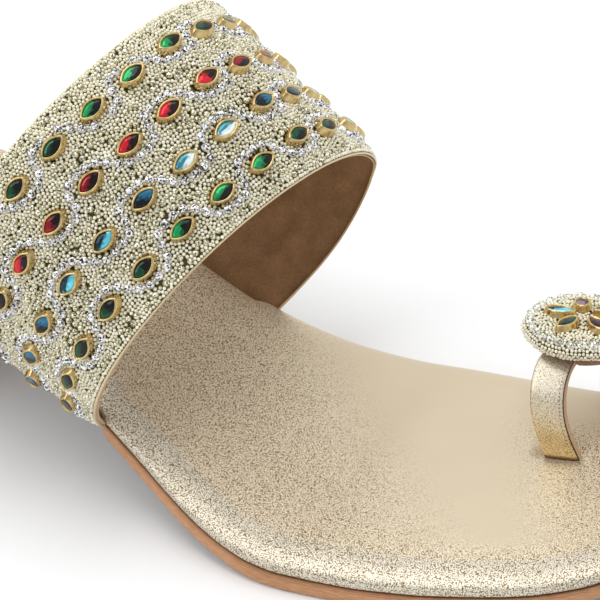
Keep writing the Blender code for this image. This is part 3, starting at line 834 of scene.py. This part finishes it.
def marquise(length, width, count, point=1.55, phase=0.0):
    t = (np.arange(count) + phase) / count * 2 * np.pi
    across = np.sign(np.sin(t)) * np.abs(np.sin(t)) ** point
    return np.column_stack([np.cos(t) * length / 2, across * width / 2])


def circle(count, radius, height, phase=0.0):
    turns = 2 * np.pi * (np.arange(count) + phase) / count
    return np.column_stack([radius * np.cos(turns), radius * np.sin(turns), np.full(count, height)])


def cutFacets(count, first=0):
    # facets from girdle to crown, and on to a table with half as many corners
    crown, table, half = first + count, first + 2 * count, count // 2
    faces = []
    for i in range(count):
        j = (i + 1) % count
        faces += [[first + i, first + j, crown + i], [crown + i, first + j, crown + j]]
    for i in range(half):
        j = (i + 1) % half
        a, b, c = crown + (2 * i - 1) % count, crown + 2 * i, crown + 2 * i + 1
        faces += [[a, b, table + i], [b, c, table + i], [c, table + j, table + i],
                  [table + i, table + j, table + half]]
    return faces


def settingTemplate(length, width):
    outline = marquise(length, width, 28, gem["point"])
    inward = inwardOf(outline)
    points = [(x, y, height) for out, height in settingProfile for x, y in outline - inward * out]
    return np.array(points), ringFaces(len(settingProfile), len(outline)), 0


def gemTemplate(length, width):
    # cut crown over a mirror foil, so every facet has its own brightness
    girdle, table = gem["girdle"], gem["table"]
    rings = ((marquise(length, width, 16, gem["point"]), girdle),
             (marquise(length * 0.8, width * 0.76, 16, 1.5, 0.5), lerp(girdle, table, 0.66)),
             (marquise(length * 0.56, width * 0.5, 8, 1.4), table), ([(0.0, 0.0)], table))
    faces = cutFacets(16)
    return np.array([(x, y, height) for plan, height in rings for x, y in plan]), faces, len(faces)


def stoneTemplate():
    # brilliant cut stone in a stamped cup with four claws; radius 1
    cup = [circle(16, 1.0, -0.35), circle(16, 1.02, 0.42), circle(16, 0.88, 0.5)]
    for ring in cup[1:]:
        ring[::4, 2] += 0.2         # claws
    crown = [circle(10, 0.93, 0.46), circle(10, 0.66, 0.82, 0.5), circle(5, 0.38, 1.0, 0.25),
             circle(1, 0.0, 1.0)]
    facets = cutFacets(10, 48)
    return np.vstack(cup + crown), ringFaces(3, 16) + facets, len(facets)


def stitchTemplate(length, radius):
    rings, around = [], 8
    for share, scale in ((-0.5, 0.25), (-0.42, 0.8), (-0.2, 1.0), (0.2, 1.0), (0.42, 0.8), (0.5, 0.25)):
        dip = 0.28 * (abs(share) / 0.5) ** 3        # the ends go down into their holes
        rings.append(circle(around, radius * scale, share * length)[:, [2, 0, 1]] - (0.0, 0.0, dip))
    ends = [list(range(around))[::-1], list(range(5 * around, 6 * around))]
    return np.vstack(rings), ringFaces(6, around) + ends, 0


def beadTemplate():
    # round bead of radius 1, open underneath where it is sewn down
    ball = bmesh.new()
    bmesh.ops.create_icosphere(ball, subdivisions=2, radius=1.0)
    bmesh.ops.delete(ball, geom=[v for v in ball.verts if v.co.z < -0.4], context="VERTS")
    ball.verts.index_update()
    points = np.array([v.co[:] for v in ball.verts])
    faces = [[v.index for v in face.verts] for face in ball.faces]
    ball.free()
    return points, faces, 0


# laying out what is sewn on

def treeOf(points):
    tree = kdtree.KDTree(len(points))
    for i, point in enumerate(points):
        tree.insert(point, i)
    tree.balance()
    return tree


def nearest(points, tree, count):
    return np.array([[found[1] for found in tree.find_n(point, count)] for point in points])


def pushOff(points, others, limit):
    # how far each point is pushed by its own others that are nearer than their limit
    apart = points[:, None] - others
    distance = np.maximum(np.linalg.norm(apart, axis=2), 1e-4)
    return np.sum(apart * (np.maximum(limit - distance, 0.0) / distance)[..., None], axis=1)


settling = {
    "push": 0.42, "pushSewn": 0.7,          # share of an overlap that one round makes good
    "loose": 1.02,                          # spacing aimed at, as a share of the pitch
    "dropFirst": 0.72, "dropLast": 0.74,    # beads nearer than this share of their reach are left out
    "neighbours": 8, "sewnNeighbours": 3, "probe": 0.05, "largest": 0.5,
}


def settle(surface, places, sewn, reach, pitch, rounds, keepInside):
    # push beads apart on a surface until they touch, and away from what is sewn on already
    sewnTree = treeOf(sewn)
    probe, largest = settling["probe"], settling["largest"]

    def clearOf(found, share):
        hits = [sewnTree.find(point) for point in surface(found)[0]]
        return found[np.array([hit[2] > reach[hit[1]] * share for hit in hits])]

    places = clearOf(keepInside(places), settling["dropFirst"])
    for _round in range(rounds):
        points = surface(places)[0]
        near = nearest(points, treeOf(points), settling["neighbours"])[:, 1:]       # the first is itself
        close = nearest(points, sewnTree, settling["sewnNeighbours"])
        push = settling["push"] * pushOff(points, points[near], pitch * settling["loose"])
        push += settling["pushSewn"] * pushOff(points, sewn[close], reach[close])
        # the same push as a move along and across the surface
        ways = [(surface(places + way)[0] - points) / probe for way in ((probe, 0.0), (0.0, probe))]
        ways = np.stack(ways, axis=1)
        move = np.linalg.solve(ways @ ways.transpose(0, 2, 1), ways @ push[..., None])[..., 0]
        places = keepInside(places + np.clip(move, -largest, largest))
    return clearOf(places, settling["dropLast"])


def settingSpots(at, axes, length, width):
    # points all over each setting, to keep beads and stones off it
    plan = np.vstack([marquise((length + gem["metalLong"]) * share, (width + gem["metalWide"]) * share, 24)
                      for share in (1.0, 0.75, 0.5, 0.2)])
    return (at[:, None] + plan[:, :1] * axes[:, :1] + plan[:, 1:] * axes[:, 1:2]).reshape(-1, 3)


def beadReach(*groups):
    # how near a bead may come to each sewn point, from how many there are and their radius
    bead = band["beadRadius"] - 0.05
    return np.concatenate([np.full(len(points), radius + bead) for points, radius in groups])


gemRows = {
    # across at gem 5, drift per gem, arc at gem 5, pitch, change of pitch
    "emeraldBack": (43.5, -0.26, 72.6, 12.6, -0.13),
    "ruby": (30.7, -0.20, 68.5, 12.5, -0.11),
    "aqua": (18.9, -0.16, 70.8, 13.0, -0.13),
    "emeraldFront": (8.0, -0.05, 69.7, 12.6, -0.02),
}
gemColours = {
    # colours from the little toe side's base, over the instep and down
    "emeraldBack": "emerald emerald forest emerald forest forest emerald emerald emerald forest forest "
                   "emerald forest emerald emerald forest emerald forest emerald",
    "ruby": "garnet ruby garnet ruby garnet garnet ruby ruby ruby garnet garnet garnet ruby garnet ruby "
            "ruby garnet ruby garnet",
    "aqua": "navy navy navy aqua aqua navy ice ice navy navy aqua aqua ice navy aqua ice navy aqua navy",
    "emeraldFront": "forest forest forest forest forest emerald emerald emerald forest forest emerald "
                    "forest emerald emerald forest emerald forest emerald forest",
}
# the gems' bright ends are painted reflection, and these turn them
gemLight = {"aqua": -1.1, "ice": -1.3, "navy": 0.3}     # which way the bright end points, if not to the base
trim = {
    # baseLight and lightSpread set which way the gems' painted bright end points
    "gemRims": (4.2, 4.6), "baseLight": 2.76, "lightSpread": 0.3,
    "crownAt": 3.0, "crownWide": 0.6, "crownGap": (1.3, 1.0),   # the gems on the crown stand off the spacing
    "clearRadius": 1.2, "snakeSwing": 3.6, "snakePitch": 2.75, "snakeSquare": 2.2,
    "linkLong": 1.1, "linkThick": 0.38, "linkLift": 0.42,
    "champagneRadius": 0.82, "waveSwing": 1.9, "wavePitch": 2.405, "waveLines": (-1.7, 0.0, 1.7),
    "edgeLines": (2.0, 3.3), "edgePitch": 2.775, "jitter": 0.4,
    "clearRim": 1.3, "champagneRim": 1.0,                       # mm that they keep from the band's edges
    "overMetal": 0.8, "overStone": 0.9, "apart": 1.9,           # how close they may lie, in radii
    "stoneSink": 0.05, "stoneTilt": 0.13, "stoneSizes": (0.93, 1.05),
}


def rowPlace(row, k):
    across5, drift, arc5, pitch, change = gemRows[row]
    k = np.asarray(k, float) - 5.0
    crown = np.exp(-((k - trim["crownAt"]) / trim["crownWide"]) ** 2)
    across = across5 + drift * k + trim["crownGap"][1] * crown
    arc = arc5 + pitch * k + change * k ** 2 + trim["crownGap"][0] * crown
    return pairs(arc + 0.8 * footWrap(across / band["width"]), across)


def evenAlong(path, pitch):
    run = runOf(onBand(path)[0])
    return readAt(np.arange(pitch / 2, run[-1], pitch), run, path)


def insideBand(places, rim):
    arc, across = places.T
    return (arc > rim) & (arc < rowLength(across) - rim) & (across > rim) & (across < band["width"] - rim)


def farFrom(places, sewn, distance):
    tree = treeOf(sewn)
    return np.array([tree.find(point)[2] > distance for point in onBand(places)[0]])


def thinOut(places, distance):
    points = onBand(places)[0]
    tree = treeOf(points)
    kept = np.ones(len(points), bool)
    for i, point in enumerate(points):
        if kept[i]:
            kept[[j for _point, j, _distance in tree.find_range(point, distance) if j > i]] = False
    return places[kept]


def placeGems():
    places, colours = [], []
    low, high = trim["gemRims"]
    for row, words in gemColours.items():
        for k, colour in enumerate(words.split()):
            arc, across = rowPlace(row, k)
            if low < arc < rowLength(across) - high:
                places.append((arc, across))
                colours.append(colour)
    at, normal, along = onBand(np.array(places))
    # over the instep the settings lean back a little, low on the side they lean forward
    lean = gem["lean"] * (2.0 * ease((np.array(places)[:, 0] - gem["leanFrom"]) / gem["leanOver"]) - 1.0)
    return at, axesFrom(unit(normal - lean[:, None] * (1.0, 0.0, 0.0)), along), np.array(colours)


def placeStones(spots):
    # the clear stones with the row each belongs to, and the champagne stones, all off the settings
    k = np.linspace(-2.0, 19.0, 1600)
    wave = np.cos(np.pi * (k - 5.0))
    rows = [rowPlace(row, k) for row in gemRows]
    # clear stones snake through each row, over one gem and under the next
    swing = trim["snakeSwing"] * np.tanh(trim["snakeSquare"] * wave) / math.tanh(trim["snakeSquare"])
    chains = [evenAlong(row + pairs(0.0, swing), trim["snakePitch"]) for row in rows]
    clear, chain = np.vstack(chains), np.repeat(np.arange(len(chains)), [len(part) for part in chains])
    kept = insideBand(clear, trim["clearRim"])
    kept &= farFrom(clear, spots, trim["clearRadius"] * trim["overMetal"])
    clear, chain = clear[kept], chain[kept]
    # champagne stones wave between the rows and follow both edges
    lines = [evenAlong((behind + ahead) / 2 + pairs(0.0, trim["waveSwing"] * wave + shift), trim["wavePitch"])
             for behind, ahead in zip(rows, rows[1:]) for shift in trim["waveLines"]]
    for inwards in trim["edgeLines"]:
        for across in (inwards, band["width"] - inwards):
            arc = np.linspace(0.0, 230.0, 900)
            lines.append(evenAlong(pairs(arc[arc < rowLength(across)], across), trim["edgePitch"]))
    champagne = np.vstack(lines)
    champagne += draws.normal(0.0, trim["jitter"], champagne.shape)
    radius = trim["champagneRadius"]
    kept = insideBand(champagne, trim["champagneRim"])
    kept &= farFrom(champagne, spots, radius * trim["overStone"])
    kept &= farFrom(champagne, onBand(clear)[0], (trim["clearRadius"] + radius) * trim["overStone"])
    return clear, chain, thinOut(champagne[kept], radius * trim["apart"])


def sewStones(name, places, radius, finishes):
    at, normal, along = onBand(places, -trim["stoneSink"])
    tilted = unit(normal + draws.normal(0.0, trim["stoneTilt"], normal.shape))
    spin = draws.uniform(0.0, 2 * np.pi, len(places))[:, None]
    turned = along * np.cos(spin) + np.cross(normal, along) * np.sin(spin)
    joinCopies(name, stoneTemplate(), at, axesFrom(tilted, turned), finishes,
               size=radius * draws.uniform(*trim["stoneSizes"], len(places)))


def buildBandTrim():
    at, axes, colours = placeGems()
    spots = settingSpots(at, axes, gem["length"], gem["width"])
    clear, chain, champagne = placeStones(spots)
    print("band trim:", len(at), "gems,", len(clear), "clear,", len(champagne), "champagne")

    template = gemTemplate(gem["length"], gem["width"])
    for colour in foils:
        chosen = colours == colour
        if chosen.any():
            tone = draws.uniform(0.0, 1.0, chosen.sum())
            # which way each gem's painted bright end points
            lit = draws.normal(gemLight.get(colour, trim["baseLight"]), trim["lightSpread"], chosen.sum())
            joinCopies("band_gems_" + colour, template, at[chosen], axes[chosen], [foils[colour]],
                       tone=tone, lit=lit)
    template = settingTemplate(gem["length"], gem["width"])
    joinCopies("band_settings", template, at, axes, [goldPlate])
    sewStones("band_stones_clear", clear, trim["clearRadius"], [silverPlate, clearFacets])
    sewStones("band_stones_champagne", champagne, trim["champagneRadius"], [brassPlate, champagneFacets])

    # short silver links join each clear stone to the next
    clearAt = onBand(clear)[0]
    step = np.diff(clearAt, axis=0)
    joined = (np.linalg.norm(step, axis=1) < 1.4 * trim["snakePitch"]) & (np.diff(chain) == 0)
    normal = onBand(clear[:-1][joined])[1]
    linkAt = (clearAt[1:] + clearAt[:-1])[joined] / 2 + trim["linkLift"] * normal
    template = stitchTemplate(trim["linkLong"], trim["linkThick"])
    joinCopies("band_chain_links", template, linkAt, axesFrom(normal, step[joined]), [silverPlate])

    champagneAt = onBand(champagne)[0]
    reach = beadReach((spots, 0.15), (clearAt, trim["clearRadius"]), (champagneAt, trim["champagneRadius"]))
    return np.vstack([spots, clearAt, champagneAt]), reach


def buildBandBeads(sewn, reach):
    pitch, width, rim = band["beadPitch"], band["width"], band["beadRim"]
    rows = int((width - 2 * rim) / (pitch * 0.866))
    places = []
    for r in range(rows + 1):
        across = rim + r * (width - 2 * rim) / rows
        places.append(pairs(np.arange(rim + (r % 2) * pitch / 2, rowLength(across) - rim, pitch), across))
    places = np.vstack(places)
    places += draws.normal(0.0, band["beadScatter"], places.shape)

    def keepInside(found):
        across = np.clip(found[:, 1], 0.66, width - 0.7)
        return pairs(np.clip(found[:, 0], 0.5, rowLength(across) - 0.5), across)

    rounds = band["beadRounds"]
    places = settle(onBand, places, sewn, reach, pitch, rounds, keepInside)
    at, normal, along = onBand(places, draws.normal(0.0, band["beadUneven"], len(places)))
    # one more row leans out over the back edge
    edge, tilt = width - band["edgeRowIn"], math.radians(band["edgeRowTilt"])
    arcs = np.arange(0.8, float(rowLength(edge)) - 0.8, pitch)
    edgePlaces = pairs(arcs + draws.normal(0.0, 0.1, len(arcs)), edge)
    spot, face, run = onBand(edgePlaces, draws.normal(-0.1, band["beadUneven"], len(arcs)))
    turned = face * math.cos(tilt) + np.cross(face, run) * math.sin(tilt)
    places, at = np.vstack([places, edgePlaces]), np.vstack([at, spot])
    axes = axesFrom(np.vstack([normal, turned]), np.vstack([along, run]))
    tone = np.clip(draws.normal(*band["beadTone"], len(places)), 0.0, 1.0)
    size = band["beadRadius"] * draws.normal(1.0, band["beadSizes"], len(places))
    quarter = np.clip(4.0 * places[:, 0] / rowLength(places[:, 1]), 0.0, 3.9).astype(int)
    template = beadTemplate()
    for k, zone in enumerate(("little_toe_side", "instep_outer", "instep_inner", "big_toe_side")):
        chosen = quarter == k
        joinCopies("band_beads_" + zone, template, at[chosen], axes[chosen], [beadGlass],
                   size=size[chosen], tone=tone[chosen])
    print("band beads:", len(places), "of", len(template[1]), "faces each")


buildShell("band_cloth", *band["cloth"], 0.0, groundCloth)
buildShell("band_lining", *band["lining"], band["skive"], bandSuede)
for edgeName in ("front", "back"):
    buildCord("piping", edgeName, bindingFoil)
    buildCord("lining_edge", edgeName, tanLining)
buildBandBeads(*buildBandTrim())
print("instep band built")

# toe ring

ring = {
    "width": 8.7, "leather": (1.0, 0.35), "lining": (0.33, -1.6), "steps": 150, "sink": 2.2,
    "bends": (15.0, 35.0, 55.0, 75.0, 90.0), "bendStep": 0.55,      # how its far end turns under
    "stitchIn": 1.0, "stitchLong": 0.62, "stitchGap": 0.26, "stitchThick": 0.13,
}
ringPath = np.array([
    # x, y, z, turn of the strap's width in plan, tip of its front edge
    (209.2, 16.2, 10.4, 9, 7), (207.1, 15.9, 15.7, 4, 7), (204.6, 17.5, 21.0, 2, 8),
    (203.0, 20.7, 26.3, 2, 7), (202.6, 25.6, 30.4, 5, 6), (203.8, 31.5, 32.3, 5, 6),
    (205.6, 38.0, 31.2, 4, 5), (208.9, 45.2, 25.8, 1, 4), (211.3, 49.2, 17.0, -2, 2),
    (212.0, 48.6, 6.4, -3, 0),
])


def ringFrames(shares):
    place = np.asarray(shares, float) * (len(ringPath) - 1)

    def column(k, at):
        return smoothRead(np.arange(len(ringPath)), ringPath[:, k], at)

    def spot(at):
        return np.column_stack([column(k, at) for k in range(3)])

    tangent = unit(spot(place + 0.02) - spot(place - 0.02))
    turn, tip = np.radians(column(3, place)), np.radians(column(4, place))
    width = np.column_stack([np.cos(turn) * np.cos(tip), np.sin(turn) * np.cos(tip), np.sin(tip)])
    outward = unit(np.cross(width, tangent))
    return spot(place) - outward, width, outward, tangent


def ringRun():
    # the strap goes down through its slit at one end and turns under the footbed at the other
    centre, width, outward, tangent = ringFrames(np.linspace(0.0, 1.0, ring["steps"]))
    extra = len(ring["bends"])
    before = centre[:1] - tangent[:1] * np.linspace(ring["sink"], 0.3, extra)[:, None]
    bends = np.radians(ring["bends"])[:, None]
    forward = tangent[-1] * np.cos(bends) - outward[-1] * np.sin(bends)
    centre = np.vstack([before, centre, centre[-1] + ring["bendStep"] * np.cumsum(forward, axis=0)])
    turned = outward[-1] * np.cos(bends) + tangent[-1] * np.sin(bends)
    width = np.vstack([np.repeat(width[:1], extra, 0), width, np.repeat(width[-1:], extra, 0)])
    return centre, width, np.vstack([np.repeat(outward[:1], extra, 0), outward, turned])


def sweepStrap(name, section, finishes, slots):
    centre, width, outward = ringRun()
    section = np.array(section)
    rings = centre[:, None] + section[:, :1] * width[:, None] + section[:, 1:] * outward[:, None]
    # the first rows stand in the slit: the leather there is rubbed and takes painted shade
    low = np.concatenate([np.ones(4), [0.6], np.zeros(len(rings) - 5)])
    addSolid(name, rings, finishes, ["toe_ring"], slots=slots,
             marks={"rubAndPaintedShade": low[:, None], "grain": 1.0})


def buildToeRing():
    half = ring["width"] / 2
    top, bottom = ring["leather"]
    section = [(x, top + 0.10 * (1 - (x / half) ** 2)) for x in np.linspace(half - 0.45, 0.45 - half, 11)]
    section += [(0.16 - half, top - 0.10), (-half, top - 0.3), (-half, bottom + 0.1), (0.12 - half, bottom)]
    section += [(half - 0.12, bottom), (half, bottom + 0.1), (half, top - 0.3), (half - 0.16, top - 0.10)]
    painted = [0] * 11 + [1] * 7 + [0]          # its cut edges are painted
    sweepStrap("toe_ring_strap", section, [strapFoil, edgePaint], painted)
    top, bottom = ring["lining"]
    inner = half - 0.05
    section = [(inner - 0.15, top), (0.15 - inner, top), (-inner, top - 0.15), (-inner, bottom + 0.2),
               (0.25 - inner, bottom), (inner - 0.25, bottom), (inner, bottom + 0.2), (inner, top - 0.15)]
    sweepStrap("toe_ring_lining", section, [tanLining], 0)

    # one row of machine stitches along the toe side, sunk into the leather
    centre, width, outward, tangent = ringFrames(np.linspace(0.0, 0.96, 1200))
    spot = centre + width * (half - ring["stitchIn"]) + outward * (ring["leather"][0] + 0.02)
    run = runOf(centre)
    marks = np.arange(0.8, run[-1], ring["stitchLong"] + ring["stitchGap"])
    at, normal, along = (readAt(marks, run, field) for field in (spot, outward, tangent))
    template = stitchTemplate(ring["stitchLong"], ring["stitchThick"])
    joinCopies("toe_ring_stitches", template, at, axesFrom(normal, along), [thread])


buildToeRing()
print("toe ring built")

# medallion

disc = {
    "centre": (204.9, 36.9, 38.15), "lean": 5.5, "tilt": 9.0, "points": 96,
    "beadPitch": 0.97, "beadRounds": 10, "flat": 13.4, "stoneAt": 13.1, "stoneRadius": 1.28,
    "petalLong": 6.6, "petalWide": 2.8, "petalLight": 2.6, "padUnder": 0.4,
    "stoneSink": 0.3, "stoneTurns": 0.02, "stoneScatter": 0.22, "stoneTilt": 0.09, "stoneSizes": (0.84, 1.04),
    "beadRows": 0.4,                # which way the rows of beads lie, in radians
    "rowScatter": 0.3, "beadScatter": 0.12, "beadTone": (0.66, 0.24), "beadShare": 0.95, "beadSizes": 0.05,
}
discProfile = np.array([
    # radius, height: over the flat top, round the rim and in underneath
    (0.0, -1.05), (2.5, -1.06), (5.0, -1.08), (7.5, -1.12), (10.0, -1.22), (12.0, -1.45), (13.4, -1.95),
    (14.3, -2.6), (14.75, -3.4), (14.6, -4.2), (14.1, -4.9), (13.4, -5.5), (12.6, -5.9),
])
discLining = [
    # radius, height: round the rim of the lining and in underneath
    (11.6, -5.5), (12.9, -5.65), (13.3, -5.95), (13.5, -6.5), (13.4, -7.1), (12.9, -7.35), (11.8, -7.2),
    (10.9, -5.95), (6.0, -5.9),
]
petals = {
    # degrees round, mm from the middle, share of the length and of the width
    "aqua": (189.0, 5.9, 1.0, 1.0), "forest": (254.0, 6.4, 0.95, 1.0), "plum": (323.0, 6.4, 1.0, 1.0),
    "navy": (48.0, 6.4, 1.0, 1.0), "mauve": (118.0, 5.4, 0.66, 1.05),
}
discRun = runOf(discProfile)
discMiddle = np.array(disc["centre"])
discLean, discTilt = np.tan(np.radians((disc["lean"], disc["tilt"])))
discNormal = unit(np.array([-discLean, discTilt, 1.0]))
discAlong = unit(np.array([1.0, 0.0, 0.0]) - discNormal * discNormal[0])
discAcross = np.cross(discNormal, discAlong)


def spokesAt(turns):
    return np.cos(turns)[:, None] * discAlong + np.sin(turns)[:, None] * discAcross


def fromMiddle(far, turns):
    return far * pairs(np.cos(turns), np.sin(turns))


def onDisc(places, lift=0.0):
    # places are plan vectors whose length is the distance run from the crest over the profile
    far = np.linalg.norm(places, axis=1)
    radius, height = readAt(far, discRun, discProfile).T[..., None]
    after, before = (readAt(far + step, discRun, discProfile) for step in (0.25, -0.25))
    outR, outH = (after - before).T[..., None]
    spoke = spokesAt(np.arctan2(places[:, 1], places[:, 0]))
    face = unit(outR * discNormal - outH * spoke)
    point = discMiddle + spoke * radius + discNormal * height
    return point + face * np.broadcast_to(lift, far.shape)[:, None], face, np.cross(face, spoke)


def buildPad():
    turns = np.linspace(0.0, 2 * np.pi, disc["points"] + 1)[:-1]
    spokes = spokesAt(turns)
    under = disc["padUnder"]        # lower than the beads on top, and narrower round the rim
    pad = [(r - (under if h < -1.6 else 0.0), h - (under if h > -2.2 else 0.0)) for r, h in discProfile[1:]]
    rings = [discMiddle + spokes * r + discNormal * h for r, h in pad]
    addSolid("medallion_pad", rings, [groundCloth], ["medallion"])
    # the lining shows beyond the strap, and draws in under the beads on the other side
    hidden = (ease((turns - 0.5) / 0.5) - ease((turns - math.radians(281.0)) / 0.1))[:, None]
    top = discLining[0][1] - 0.1
    rings = [discMiddle + spokes * r * (1.0 - 0.10 * hidden) + discNormal * lerp(h, top, 0.75 * hidden)
             for r, h in discLining]
    addSolid("medallion_lining", rings, [discSuede], ["medallion"])


def buildFlower():
    spots = []
    for colour, (degrees, distance, longShare, wideShare) in petals.items():
        turn = np.radians([degrees])
        at, face, _side = onDisc(fromMiddle(distance, turn))
        axes = axesFrom(face, spokesAt(turn))
        long, wide = disc["petalLong"] * longShare, disc["petalWide"] * wideShare
        # each petal's facets take painted reflection and shade, bright toward petalLight
        joinCopies("medallion_gem_" + colour, gemTemplate(long, wide), at, axes, [foils[colour]],
                   tone=0.5, lit=np.array([disc["petalLight"]]))
        joinCopies("medallion_setting_" + colour, settingTemplate(long, wide), at, axes, [goldPlate],
                   tone=0.5)
        spots.append(settingSpots(at, axes, long, wide))
    return np.vstack(spots)


def buildBorder():
    # clear stones all round the rim
    far = np.interp(disc["stoneAt"], discProfile[:9, 0], discRun[:9])
    count = int(2 * np.pi * disc["stoneAt"] / (2.04 * disc["stoneRadius"]))
    turns = 2 * np.pi * np.arange(count) / count + draws.normal(0.0, disc["stoneTurns"], count)
    far = draws.normal(far, disc["stoneScatter"], (count, 1))
    at, face, side = onDisc(fromMiddle(far, turns), -disc["stoneSink"])
    face = unit(face + draws.normal(0.0, disc["stoneTilt"], face.shape))
    joinCopies("medallion_stones", stoneTemplate(), at, axesFrom(face, side), [silverPlate, paleFacets],
               size=disc["stoneRadius"] * draws.uniform(*disc["stoneSizes"], count))
    return at


def buildDiscBeads(sewn, reach):
    # rows over the flat top, on a slant, and rings round the rim
    pitch, flat, places = disc["beadPitch"], disc["flat"], [np.zeros((1, 2))]
    cosine, sine = math.cos(disc["beadRows"]), math.sin(disc["beadRows"])
    slant = np.array([[cosine, sine], [-sine, cosine]])
    for r, y in enumerate(np.arange(-flat, flat, pitch * 0.9)):
        xs = np.arange(-flat + (r % 2) * pitch / 2, flat, pitch)
        row = pairs(xs[np.hypot(xs, y) < flat], y)
        places.append((row + draws.normal(0.0, disc["rowScatter"], row.shape)) @ slant)
    for far in np.arange(flat + 0.4, discRun[-1] - 0.2, pitch * 0.88):
        here = int(2 * np.pi * min(far, 14.7) / pitch)
        places.append(fromMiddle(far, 2 * np.pi * (np.arange(here) + draws.uniform()) / here))
    places = np.vstack(places)
    places += draws.normal(0.0, disc["beadScatter"], places.shape)

    def keepInside(found):
        far = np.maximum(np.linalg.norm(found, axis=1, keepdims=True), 1e-6)
        return found * np.minimum(1.0, (discRun[-1] - 0.25) / far)

    places = settle(onDisc, places, sewn, reach, pitch, disc["beadRounds"], keepInside)
    at, face, side = onDisc(places, draws.normal(0.0, disc["beadScatter"], len(places)))
    size = disc["beadShare"] * band["beadRadius"] * draws.normal(1.0, disc["beadSizes"], len(places))
    tone = np.clip(draws.normal(*disc["beadTone"], len(places)), 0.0, 1.0)
    joinCopies("medallion_beads", beadTemplate(), at, axesFrom(face, side), [beadGlass],
               size=size, tone=tone)
    print("medallion beads:", len(places))


buildPad()
flowerSpots = buildFlower()
borderStones = buildBorder()
buildDiscBeads(np.vstack([flowerSpots, borderStones]),
               beadReach((flowerSpots, 0.15), (borderStones, disc["stoneRadius"])))
print("medallion built, border stones:", len(borderStones))
